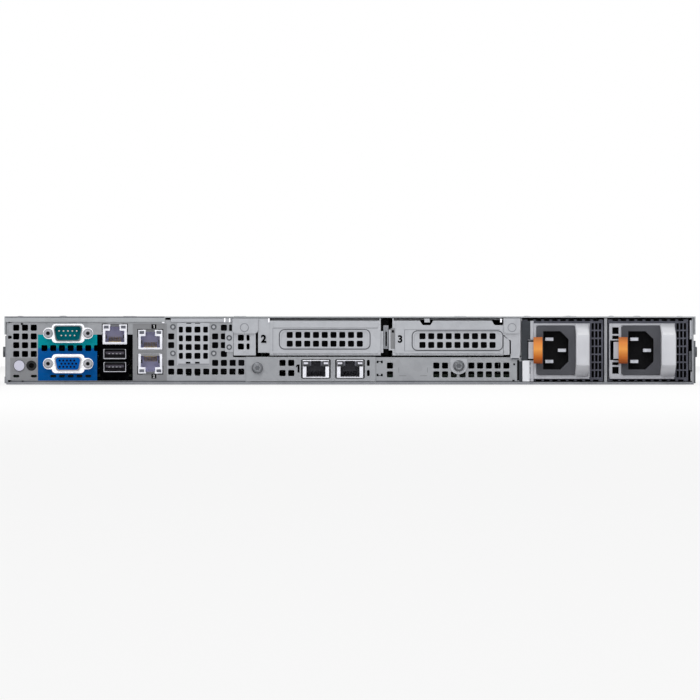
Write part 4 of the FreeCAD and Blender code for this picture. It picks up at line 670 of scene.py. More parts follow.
def captive_screws():
    # Heads with a dished rim and a six-lobed driver recess, whose walls and floor are painted darker as
    # painted shade
    lobes = (1.75, 1.5, 1.15, 1.5)
    rings = [((3.5,), 0.0), ((3.5,), 2.5), ((3.35,), 2.9), ((3.05,), 3.2), ((2.75,), 3.4), ((2.6,), 3.05),
             ((2.35,), 3.05), ((2.2,), 3.4), (lobes, 3.4), (lobes, 2.4)]
    mesh = bmesh.new()
    for x, z, seat in captive_places:
        turned_piece(mesh, x, z, seat, rings)
    bmesh.ops.recalc_face_normals(mesh, faces=mesh.faces[:])
    for face in mesh.faces:
        centre = face.calc_center_median() / mm
        near = min(math.hypot(centre.x - x, centre.z - z) for x, z, seat in captive_places)
        if near < 1.8 and centre.y > rear_y - 4.1:
            face.material_index = 1 if abs(face.normal.y) < 0.5 else 2
    finishes = [head_steel, dark_grey_and_shade, recess_floor_shade]
    piece = add_piece("captive_screw_heads", mesh, "chassis", finishes)
    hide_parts("captive_screws")


def vent_shades():
    # Black sheets behind the vents that look straight through the body: painted shade for the dark inside
    rear_sheet("rear_vent_shade", "dark_plastic", vent_shade_black, 0.1, rear_y + 1.6, rear_y + 2.4,
               (-115.6, -70.4, 7.4, 40.2))
    rear_sheet("front_vent_shade", "dark_plastic", vent_shade_black, 0.1, front_y - 9.0, front_y - 8.2,
               (-211.6, 211.6, 31.0, 40.8))
    add_plates("slot_vent_shades", "chassis", vent_shade_black, 0.1,
               sheets(rear_y + 2.0, rear_y + 2.8, [(19.5, 24.2, 18.4, 41.3)])
               + sheets(rear_y + 0.2, rear_y + 0.9, [(-47.8, 18.0, 19.6, 38.6), (28.2, 95.0, 19.6, 37.0)]))


def panel_sheets():
    # Weld in the panel's joint between the vents, fold, small bright pieces as painted glints on the top
    # edge, a painted shadow along the panel's lower edge, and the hems of the side walls
    joint = [(-73.7, -73.0, low, high) for low, high in ((1.1, 6.3), (10.1, 11.8), (15.7, 17.3))]
    rear_sheet("panel_joint_weld", "zinc_steel", zinc, 0.0, rear_y - 0.02, rear_y + 0.9, *joint)
    rear_sheet("panel_top_fold", "zinc_steel", slot_zinc, 0.2, plate_face, rear_y,
               (-112.6, -74.2, 39.2, 41.7))
    # Small bright nickel pieces along the top edge: painted glints
    clips = sheets(rear_y - 1.0, rear_y, [(-79.2, -78.1, 39.0, 41.8), (-76.1, -75.0, 39.0, 41.8)])
    clips += sheets(rear_y - 1.3, rear_y - 0.5, [(-51.6, -50.3, 38.9, 41.6)])
    clips += sheets(rear_y - 1.5, rear_y - 0.7, [(94.2, 95.5, 38.9, 41.3)])
    clips += sheets(rear_y - 0.6, rear_y, [(-118.2, -116.4, 38.5, 40.4)])
    add_plates("glint_pieces", "chassis", nickel, 0.2, clips)
    # Darker strip along the panel's foot: painted shadow under its lower edge
    rear_sheet("panel_lower_edge_shadow", "zinc_steel", dim_zinc_and_shade, 0.05, mark_face, rear_y,
               (-213.2, -65.6, 1.3, 2.4), (16.4, 107.0, 1.3, 2.4))
    hem_rear, hem_front = rear_y + 0.2, rear_y + 7.0
    rear_sheet("wall_rear_hems", "zinc_steel", mid_zinc_and_shade, 0.1, hem_rear, hem_front,
               (-216.5, -215.7, 5.0, 30.6), (-217.0, -215.7, 0.8, 5.0))
    rear_sheet("wall_right_hem", "zinc_steel", dim_zinc_and_shade, 0.1, hem_rear, hem_front,
               (215.5, 217.0, 0.8, 27.5))


def panel_marks():
    # Painted shade as films on the panel and its vent plate: black for cuts and blind vents, dark along
    # shaded edges; and scribed lines
    shade_face = plate_face - shade_rise
    cut_shade_boxes = sheets(mark_face, rear_y,
                  [(-206.7, -205.4, 37.4, 38.7), (-206.2, -204.9, 1.4, 2.5), (104.9, 106.2, 2.6, 15.4),
                   (102.5, 103.7, 12.1, 13.3), (102.0, 103.4, 1.9, 3.0)])
    for left, right in ((-102.8, -99.6), (-97.3, -94.2)):
        cut_shade_boxes += sheets(shade_face, plate_face, [(left, right, 38.2, 38.7)])
        cut_shade_boxes += sheets(mark_face, rear_y, [(left, right, 5.6, 6.4)])
    # Black films for two cuts like a letter H beside the card's bracket, painted shade
    for low, bar in ((13.4, 14.3), (5.2, 5.4)):
        cut_shade_boxes += sheets(mark_face, rear_y,
                       [(16.7, 17.9, low, low + 1.6), (19.4, 20.6, low, low + 1.6),
                        (17.9, 19.4, bar, bar + 0.4)])
    add_plates("panel_cut_shades", "chassis", recess_shade_black, 0.0, cut_shade_boxes)
    rear_sheet("bay_edge_shade", "dark_plastic", strip_dark, 0.0, rear_y - shade_rise, rear_y + shade_rise,
               (106.2, 108.1, 1.6, 14.6))
    # Painted shadow under the vent plate's lower edge
    rear_sheet("vent_plate_bottom_shadow", "zinc_steel", shade_line_grey, 0.0, shade_face, plate_face,
               (-108.0, -88.4, 12.6, 13.05))
    rear_sheet("vent_plate_tab_cut_shades", "dark_plastic", recess_shade_black, 0.0, shade_face, plate_face,
               (-103.1, -100.2, 13.2, 14.3), (-97.3, -94.4, 13.2, 14.3), (26.2, 27.6, 32.6, 34.2))
    mesh = bmesh.new()
    add_rounded(mesh, -68.2, rear_y, 13.7, 3.8, 3.8, 0.7)
    add_rounded(mesh, -75.0, rear_y, 35.7, 1.9, 4.0, 0.6)
    raise_faces(mesh, 0.05)
    add_piece("panel_blind_vents", mesh, "chassis", [recess_shade_black])
    rear_sheet("panel_scribe_marks", "zinc_steel", scribe_and_shade_grey, 0.0, mark_face, rear_y,
               (30.9, 35.4, 5.4, 5.65), (30.5, 30.75, 7.6, 10.7), (44.1, 48.4, 5.4, 5.65),
               (48.5, 48.75, 7.6, 10.7))


def jack_gap_shades():
    # Painted shade: dark films for the gaps between the jacks' shields and their cut-outs
    mesh = bmesh.new()
    face = rear_y - film_thickness - 0.04
    for x, z, flip in panel_jacks:
        for side in (-1, 1):
            add_block(mesh, *span(x, side, 7.7, 8.15), face, rear_y, *span(z, flip, 1.4, 6.7))
            add_block(mesh, *span(x, side, 4.6, 7.7), face, rear_y, *span(z, flip, 6.25, 6.7))
    for x in card_jack_x:
        low, high = card_jack_z - 5.6, card_jack_z + 5.6
        add_border(mesh, x - 8.3, x + 8.3, rear_y - 1.05, rear_y - 1.0, low, high, 0.4)
    add_piece("jack_gap_shades", mesh, "chassis", [recess_shade_black])


def window_rim_shadows():
    # Painted shade: a dark line in the corner where the raised rim of each vented window meets its cover
    mesh = bmesh.new()
    for x, z in window_places:
        add_rounded(mesh, x, filler_face, z, 57.6, 12.9, 3.5)
    keep_rims(mesh, 0.9)
    raise_faces(mesh, 0.08)
    add_piece("window_rim_shadows", mesh, "chassis", [shade_line_grey])


def filler_folds():
    # Raised bands that stiffen the slot covers, and painted shade along the creases inside them
    rear_sheet("filler_bands", "zinc_steel", slot_zinc, 0.12, filler_face - 0.3, filler_face,
               (-48.2, 17.6, 35.6, 39.2), (-48.2, 17.6, 19.5, 21.2), (33.9, 94.0, 19.5, 20.9),
               (28.3, 34.1, 19.5, 34.5))
    rear_sheet("filler_crease_shades", "zinc_steel", mid_zinc_and_shade, 0.0, filler_face - shade_rise, filler_face,
               (-48.3, 17.6, 35.25, 35.6), (-48.6, -48.25, 21.0, 35.6), (34.1, 94.2, 34.3, 34.65),
               (34.1, 34.45, 20.9, 34.3), (34.4, 94.2, 20.9, 21.2))


def slot_3_edge():
    # Sloped corner and rounded foot beside the third slot's handle
    foot_face, foot_low = rear_y - 1.8, 15.4
    mesh = bmesh.new()
    corner = add_block(mesh, 96.4, 100.2, rear_y - 1.5, plate_face, 18.6, 30.6)
    slope = [v for v in corner if v.co.x > 100 * mm and v.co.z > 30 * mm]
    bmesh.ops.translate(mesh, vec=(0, 0, -3.2 * mm), verts=slope)
    foot = add_block(mesh, 100.7, 106.6, foot_face, rear_y - 0.82, foot_low, 19.0)
    low = [e for e in linked_edges(foot) if all(v.co.z < (foot_low + 0.6) * mm for v in e.verts)
           and abs(e.verts[0].co.y - e.verts[1].co.y) > 0.5 * mm]
    round_edges(mesh, low, 1.2, 4)
    soften(add_piece("slot_3_corner", mesh, "chassis", [slot_zinc]), 0.12)
    rear_sheet("slot_3_foot_shade", "dark_plastic", strip_dark, 0.0, foot_face - 0.05, foot_face + 0.01,
               (101.3, 106.0, foot_low + 0.3, foot_low + 1.2))


def riser_small_parts():
    # Bracket with a painted-black slot and folds in the gap between the riser cages, painted shade on the
    # third cage's fold, the tab in the third slot's notch, thumb rings
    bracket = sheets(rear_y + 0.6, rear_y + 1.4, [(20.9, 24.2, 22.4, 37.2)])
    bracket += sheets(rear_y - 0.2, rear_y + 0.6, [(21.4, 22.2, 23.6, 35.8), (23.3, 24.1, 23.6, 35.8)])
    add_plates("riser_gap_bracket", "chassis", mid_zinc_and_shade, 0.15, bracket)
    rear_sheet("riser_gap_slot", "dark_plastic", recess_shade_black, 0.0, rear_y + 0.5, rear_y + 0.6,
               (22.3, 23.2, 24.2, 33.2))
    rear_sheet("riser_3_fold_shade", "zinc_steel", grey_print_and_shade, 0.0, plate_face - 0.04, plate_face,
               (25.5, 28.2, 22.4, 35.4))
    rear_sheet("riser_2_edge_fold", "zinc_steel", slot_zinc, 0.1, rear_y - 0.6, rear_y + 4.0,
               (19.3, 20.9, 19.9, 33.6))
    add_plates("slot_3_notch_tab", "chassis", slot_zinc, 0.1,
               sheets(rear_y - 1.2, rear_y + 10.2, [(46.7, 50.1, 41.0, 41.5)])
               + sheets(rear_y - 1.2, rear_y - 0.6, [(46.7, 50.1, 39.0, 41.0)]))
    mesh = bmesh.new()
    for x in (-66.3, 101.7):
        add_disc(mesh, x, rear_y - 2.4, 35.8, 2.8)
    keep_rims(mesh, 0.5)
    raise_faces(mesh, 0.15)
    soften(add_piece("riser_thumb_rings", mesh, "chassis", [mid_zinc_and_shade]), 0.08)


def lowered_window():
    # Covers of both slots, with the third slot's window moved down
    mesh = merged_copy("slot_fillers")
    x, z = window_places[1]
    solid_z = z + window_drop
    window = [v for v in mesh.verts if abs(v.co.x / mm - x) < 28.4 and abs(v.co.z / mm - solid_z) < 6.1]
    bmesh.ops.translate(mesh, vec=(0, 0, -window_drop * mm), verts=window)
    return mesh


def digits():
    # Numbers of the three slots, and of the two network ports on dark patches
    digit_y = filler_face - 0.02
    printed_digit("digit_slot_2", "2", 5.1, -54.2, digit_y, 28.8, ink_black, 0.045)
    printed_digit("digit_slot_3", "3", 4.9, 31.5, digit_y - 0.3, 28.6, ink_black, 0.045)
    printed_one("digit_slot_1", 5.1, -32.95, rear_y - 1.02, 10.1, ink_black)
    port_1_z, port_2_z = 36.4, 5.2
    patch_face = rear_y - film_thickness - 0.03
    for port, z in ((1, port_1_z), (2, port_2_z)):
        rear_sheet("lan_%d_patch" % port, "dark_plastic", ink_black, 0.0, patch_face, rear_y,
                   (-124.7, -121.6, z - 1.45, z + 1.45))
    printed_one("lan_1_digit", 2.1, -123.2, patch_face - 0.01, port_1_z, ink_pale)
    printed_digit("lan_2_digit", "2", 2.1, -123.15, patch_face - 0.01, port_2_z, ink_pale)


def rear_face():
    panel = merged_copy("rear_panel")
    round_vents(panel, vent_corner)
    printed_film("label_teal_blue", panel, film_left, film_black_left, film_bottom, film_top, ink_teal_blue)
    printed_film("label_black", panel, film_black_left, film_grey_left, film_bottom, film_top, ink_black)
    printed_film("label_grey", panel, film_grey_left, film_right, film_bottom, film_grey_top, grey_print_and_shade)
    printed_film("label_grey_identity", panel, -213.4, film_left - 0.1, film_bottom, 16.8, grey_print_and_shade)
    dress("rear_panel", 0.12, mesh=panel)
    dress("rear_plates", 0.15, corner=vent_corner, finish=slot_zinc)
    dress("slot_fillers", 0.04, 1, corner=vent_corner, finish=slot_zinc, mesh=lowered_window())
    dress("lom_bracket", 0.15, corner=vent_corner)
    dress("riser_2_cage", 0.15, corner=vent_corner, finish=slot_zinc)
    dress("riser_3_cage", 0.15, corner=vent_corner, finish=slot_zinc)
    dimple = either(within(y=(rear_y - 0.35, endless), rear_only=True), within(y=around(rear_y - 1.0, 0.15)))
    dress("rear_rivets", 0.15, finish=dim_zinc_and_shade, zones=((slot_zinc, dimple),))
    vent_shades()
    panel_sheets()
    panel_marks()
    jack_gap_shades()
    filler_folds()
    slot_3_edge()
    window_rim_shadows()
    riser_small_parts()
    captive_screws()
    digits()


# Ports

def plug_cavity(mouth, jacks):
    # Inside a jack or its catch notch
    depth = (mouth + 0.05, mouth + 13.05)
    cavities = [within(around(x, 5.96), depth, span(z, flip, -4.96, 2.16)) for x, z, flip in jacks]
    notches = [within(around(x, 3.01), depth, span(z, flip, 2.1, 5.06)) for x, z, flip in jacks]
    return either(*cavities, *notches)


def lamp_pocket(mouth):
    return within(y=around(mouth + 0.4, 0.05), rear_only=True)


def wide_serial(node):
    # The serial port's mouth is a little larger than the display port's
    mesh = merged_copy(node)
    place = Vector((dsub_x, 0, serial_z)) * mm
    mouth = [v for v in mesh.verts
             if abs(v.co.x - place.x) < 8.8 * mm and abs(v.co.z - place.z) < 4.6 * mm
             and v.co.y < (rear_y + 0.05) * mm]
    bmesh.ops.scale(mesh, vec=serial_spread, space=Matrix.Translation(-place), verts=mouth)
    return mesh


# Faces inside the jack screws' bores, painted dark as painted shade
def screw_bore_shade(centre, normal):
    near = min(math.hypot(centre.x - x, centre.z - z) for x, z in jack_screw_places)
    return near < 1.35 and centre.y > rear_y - 5.3


def contact_wires():
    # Eight sprung wires rise across the cavity of each jack, and nine pins stand in the serial port
    mesh = bmesh.new()
    jacks = [(*place, jack_mouth) for place in panel_jacks] + [(*place, card_mouth) for place in card_jacks]
    for x, z, flip, mouth in jacks:
        low = z - 4.7 * flip - 0.2
        for i in range(8):
            left = x + (i - 3.5) * 1.02 - 0.26
            wire = add_block(mesh, left, left + 0.52, mouth + 5.0, mouth + 12.9, low, low + 0.4)
            back = [v for v in wire if v.co.y > (mouth + 9) * mm]
            bmesh.ops.translate(mesh, vec=(0, 0, 3.0 * flip * mm), verts=back)
    for count, z in ((5, serial_z + 1.42), (4, serial_z - 1.42)):
        for i in range(count):
            x = dsub_x + (i - (count - 1) / 2) * 2.77
            pin = add_rod(mesh, facing_rear(x, serial_seat - 2.2, z), 0.5, 4.4, 12)
            tip = [e for e in linked_edges(pin) if all(v.co.y < (serial_seat - 4.3) * mm for v in e.verts)]
            round_edges(mesh, tip, 0.3, 2)
    for face in mesh.faces:
        x = face.calc_center_median().x / mm
        if x < dsub_x + 8:
            face.material_index = 1
        elif x > lan_x + 8:
            face.material_index = 2
    piece = add_piece("contact_wires", mesh, "chassis", [gold, pin_plate, dull_nickel_and_shade])
    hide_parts("port_contacts")


def card_lamps():
    # Shaded notch corners, lamp rims and lamp windows on both sides of the card's jacks
    for name, slot, finish, edge, rise, near, far, low, high in (
            ("card_jack_notches", "dark_plastic", card_jack_inner, 0.0, 0.06, 3.0, 4.1, 11.9, 14.7),
            ("card_lamp_rims", "dark_plastic", dark_grey_and_shade, 0.0, 0.06, 4.1, 8.1, 11.3, 14.8),
            ("card_lamp_windows", "white_plastic", lamp_white, 0.05, 0.12, 4.9, 7.7, 12.8, 14.0)):
        boxes = [(*span(x, side, near, far), low, high) for x in card_jack_x for side in (-1, 1)]
        rear_sheet(name, slot, finish, edge, card_mouth - rise, card_mouth, *boxes)


def display_socket_shade_discs():
    # Black discs at the display port's sockets: painted shade
    mesh = bmesh.new()
    for row in (-1, 0, 1):
        shift = 0.5725 if row == 0 else -0.5725
        for column in range(5):
            socket_x = dsub_x + (column - 2) * 2.29 + shift
            add_disc(mesh, socket_x, display_face, display_z + row * 1.98, 0.68)
    raise_faces(mesh, 0.02)
    add_piece("display_socket_shades", mesh, "chassis", [recess_shade_black])


def jack_details():
    # Contacts and shaded tops of the USB ports; painted shade on the notch tops of the panel's jacks and on
    # the lower jack's top edge; side springs of the panel's jacks
    ticks = [(management_x + x - 0.45, management_x + x + 0.45, z - 0.1, z + 0.4)
             for z in usb_places for x in (-3.5, -1.2, 1.2, 3.5)]
    shades = [(management_x - 6.2, management_x + 6.2, z + 2.6, z + 3.3) for z in usb_places]
    notch_shade_boxes = [(x - 2.8, x + 2.8, *span(z, flip, 4.85, 6.25)) for x, z, flip in panel_jacks]
    springs = [(*span(x, side, 5.0, 6.0), *span(z, -flip, 0.4, 2.7))
               for x, z, flip in panel_jacks for side in (-1, 1)]
    lower_jack_shade = (lan_x - 5.8, lan_x + 5.8, lan_lower_z + 5.0, lan_lower_z + 6.25)
    face = jack_mouth - 0.04
    rear_sheet("usb_contacts", "bright_plate", dull_nickel_and_shade, 0.0, rear_y + 0.5, rear_y + 0.6, *ticks)
    rear_sheet("usb_top_shades", "dark_plastic", dark_grey_and_shade, 0.0, face, jack_mouth, *shades)
    rear_sheet("jack_notch_top_shades", "dark_plastic", scribe_and_shade_grey, 0.0, face, jack_mouth, *notch_shade_boxes)
    rear_sheet("jack_side_springs", "dark_plastic", dark_grey_and_shade, 0.0,
               jack_mouth + 0.8, jack_mouth + 1.4, *springs)
    rear_sheet("jack_lower_top_shade", "zinc_steel", grey_print_and_shade, 0.0, face, jack_mouth, lower_jack_shade)


def ports():
    # The shells' tubes and the serial port's rim are painted darker than the flanges: painted shade inside
    # the shells
    rim = (-endless, rear_y - 0.9)
    serial_shaded_rim = within(y=rim, z=((serial_z + display_z) / 2, endless))
    dress("dsub_shells", 0.35, 3, zones=((dull_nickel_and_shade, within(y=rim)), (serial_rim_shade, serial_shaded_rim)),
          mesh=wide_serial("dsub_shells"))
    dress("serial_insert", 0.2, mesh=wide_serial("serial_insert"))
    # Insides of the display port's sockets are painted black: painted shade
    socket_depth = (display_face + 0.05, display_face + 3.1)
    display_socket_shade = within(around(dsub_x, 6.6), socket_depth, around(display_z, 3.3))
    dress("vga_insert", 0.1, zones=((recess_shade_black, display_socket_shade),))
    dress("jack_screws", 0.15, finish=dull_nickel_and_shade, zones=((dark_grey_and_shade, screw_bore_shade),))
    # Rings round the jack screws, like washers: painted contact shadow
    mesh = bmesh.new()
    for x, z in jack_screw_places:
        add_disc(mesh, x, plate_face, z, 3.0)
    raise_faces(mesh, 0.05)
    add_piece("jack_screw_shadow_rings", mesh, "chassis", [head_steel])
    dress("network_jacks", 0.2, finish=jack_plate,
          zones=((jack_inner_painted_light, plug_cavity(jack_mouth, panel_jacks)),
                 (lamp_smoke, lamp_pocket(jack_mouth))))
    dress("riser_jacks", 0.2, finish=jack_plate,
          zones=((card_jack_inner, plug_cavity(card_mouth, card_jacks)),
                 (lamp_white, lamp_pocket(card_mouth))))
    usb_depth = (jack_mouth + 0.05, jack_mouth + 11.05)
    in_usb = either(*[within(around(management_x, 6.65), usb_depth, around(z, 2.65)) for z in usb_places])
    dress("usb_ports", 0.12, finish=usb_plate, zones=((port_dark, in_usb),))
    card_lamps()
    display_socket_shade_discs()
    jack_details()
    dress("id_jack", 0.4, 3)
    dress("id_button", 0.6, 4)
    contact_wires()


# Power supplies

def supply_recess_shade(left):
    # Painted shade: black in the grille holes, teeth, side vents and the latch slot
    behind = within(y=(supply_case_rear + 0.05, supply_case_rear + 3.2))
    side_depth = (supply_face_rear + 0.05, rear_y + 26.1)
    beside = within((left + 1.4, left + 7.7), side_depth, around(supply_mid, 14.8))
    return either(behind, beside)


def inlet_cavity_shade(left):
    # Inside the inlet, painted near black: painted shade
    depth = (supply_face_rear - 1.35, rear_y + 15.1)
    return within((left + 12.6, left + 28.6), depth, around(supply_mid, 12.1))


def inlet_blades(left):
    depth = (-endless, rear_y + 14.9)
    return either(*[within(around(left + x, 2.55), depth, around(supply_mid + z, 1.05))
                    for x, z in ((16.6, 7.0), (16.6, -7.0), (24.6, 0.0))])


def moved_strap(supply):
    # The edges of each strap stand a little further left than the solid's
    mesh = merged_copy(supply + "_handle")
    middle = (min(v.co.x for v in mesh.verts) + max(v.co.x for v in mesh.verts)) / 2
    left = [v for v in mesh.verts if v.co.x < middle]
    right = [v for v in mesh.verts if v.co.x >= middle]
    for verts, shift in zip((left, right), strap_shifts[supply]):
        bmesh.ops.translate(mesh, vec=(shift * mm, 0, 0), verts=verts)
    return mesh


def supply_label():
    # Bare label strip and steel edge beside the first supply, clear of the release arm
    for name, slot, finish, boxes in (
            ("supply_label_strip", "dark_plastic", strip_dark,
             [(107.6, 113.2, 28.2, 40.0), (107.6, 111.6, 15.2, 28.2)]),
            ("supply_label_field", "white_plastic", ink_white, [(108.3, 112.8, 1.9, 15.0)]),
            ("supply_edge_strip", "psu_metal", supply_zinc,
             [(113.2, 115.3, 28.2, 40.0), (113.2, 115.3, 1.9, 15.0)])):
        add_plates(name, "psu_1", finish, 0.15, sheets(supply_face_rear - 0.5, supply_face_rear, boxes))


def side_wall_parts():
    # Folded edge and dark spacer between the second supply and the right wall
    rear_sheet("right_wall_fold", "zinc_steel", slot_zinc, 0.15, rear_y + 0.3, rear_y + 1.2,
               (213.4, 214.7, 28.4, 40.4), (213.9, 214.7, 2.0, 8.0))
    add_plates("right_wall_spacer", "chassis", dim_zinc_and_shade, 0.15,
               [(212.95, 214.7, rear_y + 2.0, rear_y + 3.0, 9.0, 21.0),
                (212.95, 214.7, rear_y + 1.6, rear_y + 2.4, 14.6, 15.4)])


def supply_frame(supply, left):
    # Corner plates and foot of the steel frame round the inlet
    face = supply_face_rear
    corners = [(left + x - 0.65, left + x + 0.65, z - 0.65, z + 0.65)
               for x in (9.15, 32.25) for z in (6.65, 36.35)]
    add_plates(supply + "_frame_corners", supply, supply_zinc, 0.0,
               sheets(face + 0.05, face + 0.6, corners))
    add_plates(supply + "_frame_foot", supply, supply_zinc, 0.1,
               sheets(face, face + 1.2, [(left + 1.0, left + 41.6, 3.6, 4.8)]))


def power_supplies():
    # The case's recessed rear face is painted darker: painted shade
    shaded_rear_plane = within(y=around(supply_case_rear, 0.05), rear_only=True)
    latch_steel = within(y=(rear_y - 4.25, endless))
    for supply, left in supply_left.items():
        dress(supply + "_case", 0.25, zones=((shaded_supply_zinc, shaded_rear_plane), (recess_shade_black, supply_recess_shade(left))))
        dress(supply + "_inlet", 0.3,
              zones=((socket_shade_black, inlet_cavity_shade(left)), (blade_nickel, inlet_blades(left))))
        supply_frame(supply, left)
        dress(supply + "_handle", 0.9, 4, mesh=moved_strap(supply))
        dress(supply + "_latch", 0.5, 3, zones=((supply_zinc, latch_steel),))
    dress("psu_bay", 0.15)
    supply_label()
    side_wall_parts()


# Cover, inside and front

def cover_details():
    # Embossed domes along the rear edge, pressed ribs, flush rivets and painted shade on the bend of the rear
    # lip
    mesh = bmesh.new()
    for x, width in ((-180.5, 5.2), (111.5, 5.0), (137.8, 4.6), (164.4, 4.0), (180.6, 5.0)):
        add_dome(mesh, x, rear_y + 12, cover_top, width / 2, width / 2, 0.55, 20)
    add_piece("cover_dimples", mesh, "cover", [cover_zinc])
    mesh = bmesh.new()
    for x in (-140.0, -70.0, 70.0, 140.0):
        rib = add_block(mesh, x - 4, x + 4, -270, 30, cover_top - 0.25, cover_top + 0.5)
        upright = [e for e in linked_edges(rib) if abs(e.verts[0].co.z - e.verts[1].co.z) > 0.5 * mm]
        round_edges(mesh, upright, 3.9, 6)
    soften(add_piece("cover_ribs", mesh, "cover", [cover_zinc]), 0.6, 3)
    mesh = bmesh.new()
    for x in (-208.0, 208.0):
        for y in range(-300, 301, 100):
            add_dome(mesh, x, y, cover_top, 2.4, 2.4, 0.45)
    add_piece("cover_rivets", mesh, "cover", [mid_zinc_and_shade])
    add_plates("cover_rear_edge_shade", "cover", shade_line_grey, 0.0,
               [(-216.4, -116.4, rear_y - 1.26, rear_y - 1.2, 42.05, 42.7)])


def side_rivets():
    mesh = bmesh.new()
    for x in (-215.75, 215.75):
        for y in (-310, -230, -130, -30, 60, 150, 240):
            add_dome(mesh, x, y, 6.0, 0.5, 2.2, 2.2)
    add_piece("side_rivets", mesh, "chassis", [mid_zinc_and_shade])


def add_can(mesh, x, y, radius, height):
    # A capacitor can with a rolled top edge
    can = add_rod(mesh, at(x, y, board_top + height / 2), radius, height, 20)
    rim = (board_top + height - 0.1) * mm
    round_edges(mesh, [e for e in linked_edges(can) if all(v.co.z > rim for v in e.verts)], 0.5, 3)


def on_board(height, places):
    # Blocks that stand on the system board; a place is (left, right, rear, front)
    return [(*place, board_top, board_top + height) for place in places]


def board_blocks():
    # Chips, a small heat sink, chokes, sockets and clips on the open parts of the system board
    chips = on_board(1.8, [(-168, -146, -236, -214)]) + on_board(1.5, [(-122, -108, -262, -248)])
    chips += on_board(1.4, [(-196, -184, -186, -174), (-138, -126, -120, -108)])
    chips += on_board(1.3, [(x, x + 8, -206, -202) for x in (-170, -158, -146)])
    chips += on_board(1.2, [(x, x + 6, y, y + 9) for x in (-100, -88) for y in (-230, -214, -198)])
    chips += on_board(1.2, [(x, x + 9, -188, -180) for x in (-40, -10, 20, 50)])
    add_plates("board_chips", "chassis", chip_black, 0.2, chips)
    foot, base, fin = board_top + 1.6, board_top + 4.0, board_top + 13.0
    sink = [(-126, -88, -176, -138, foot, base), (-120, -94, -170, -144, board_top, foot)]
    sink += [(-126 + i * 4.6, -124.8 + i * 4.6, -176, -138, base, fin) for i in range(9)]
    add_plates("board_small_sink", "chassis", aluminium, 0.15, sink)
    chokes = [(x, x + 8, -84, -76) for cpu in processor_places for x in range(cpu - 34, cpu + 27, 10)]
    add_plates("board_chokes", "chassis", choke_grey, 0.5, on_board(5.5, chokes))
    sockets = on_board(18, [(x, x + 40, -131.5, -121) for x in (114, 167.4)])
    sockets += on_board(9, [(-206, -172, y, y + 7) for y in (-100, -88)])
    sockets += on_board(11, [(x, x + 34, -150, -144) for x in (-20, 40)])
    add_plates("board_sockets", "chassis", black_plastic, 0.4, sockets)
    clips = on_board(12, [(x - 2.4, x + 2.4, y, y + 4) for x in module_places for y in (74.2, -72.4)])
    clips += on_board(8, [(x, x + 20, 80, 85) for x in (-180, -60, 40, 160)])
    add_plates("board_clips", "chassis", clip_white, 0.4, clips)
    add_plates("board_cell_holder", "chassis", black_plastic, 0.4,
               on_board(3.4, [(-204, -180, -142, -139), (-204, -180, -133, -130)]))


def board_cans():
    # Capacitors, and the flat cell that keeps the clock
    mesh = bmesh.new()
    for cpu in processor_places:
        for i in range(9):
            add_can(mesh, cpu - 34 + i * 8.4, -93, 3.1, 7.5)
    for x in (120, 128, 136, 185, 193, 201):
        add_can(mesh, x, -110, 3.6, 11.0)
    for y in (-290, -282, -274):
        add_can(mesh, -196, y, 2.6, 6.5)
    add_piece("board_capacitors", mesh, "chassis", [aluminium])
    mesh = bmesh.new()
    add_can(mesh, -192, -136, 10.0, 4.6)
    add_piece("board_clock_cell", mesh, "chassis", [dull_nickel_and_shade])


def module_chip(centre, normal):
    return min(abs(centre.x - x) for x in module_places) > 0.8


def bezel_cell(x):
    # Inside a bezel's cells, painted black: painted shade
    return within(around(x, 35.3), (bezel_front - 3.1, bezel_front - 0.05), around(bezel_mid, 11.0))


def carrier_details(number, x):
    # Two lamp lenses beside the release button, the disk's lid and the bright ends of the handle's pivot pin
    carrier = "carrier_%d" % number
    rings = [((1.3,), 0.0), ((1.3,), -0.2), ((1.0,), -0.35), ((0.9,), -0.2), ((0.6,), -0.4), ((0.2,), -0.5)]
    for name, finish, z in (("drive_lamps_green", lens_green, 9.4), ("drive_lamps_amber", lens_amber, 13.2)):
        mesh = bmesh.new()
        turned_piece(mesh, x + 48.6, z, bezel_front - 0.05, rings)
        bmesh.ops.recalc_face_normals(mesh, faces=mesh.faces[:])
        add_piece("%s_%d" % (name, number), mesh, carrier, [finish])
    mesh = bmesh.new()
    add_rod(mesh, at(x, 272.0, 27.8), 17, 0.5, 48, 16.5)
    add_piece("disk_%d_spindle_cap" % number, mesh, carrier, [mid_zinc_and_shade])
    mesh = bmesh.new()
    for across in (-41.5, 41.5):
        for y in (191.0, 253.0, 315.0):
            add_dome(mesh, x + across, y, 27.7, 2.4, 2.4, 0.5)
    add_piece("disk_%d_lid_screws" % number, mesh, carrier, [head_steel])
    mesh = bmesh.new()
    for z in (4.65, 25.95):
        add_rod(mesh, at(x - 46.1, 339.8, z), 1.25, 0.7, 20)
    caps = add_piece("handle_pin_caps_%d" % number, mesh, "pull_%d" % number, [dull_nickel_and_shade])
    soften(caps, 0.2)


def panel_lamp(centre, normal):
    return 329.0 < centre.y < 332.4 and abs(normal.x) < 0.98 and abs(centre.x + control_x) < 2.0


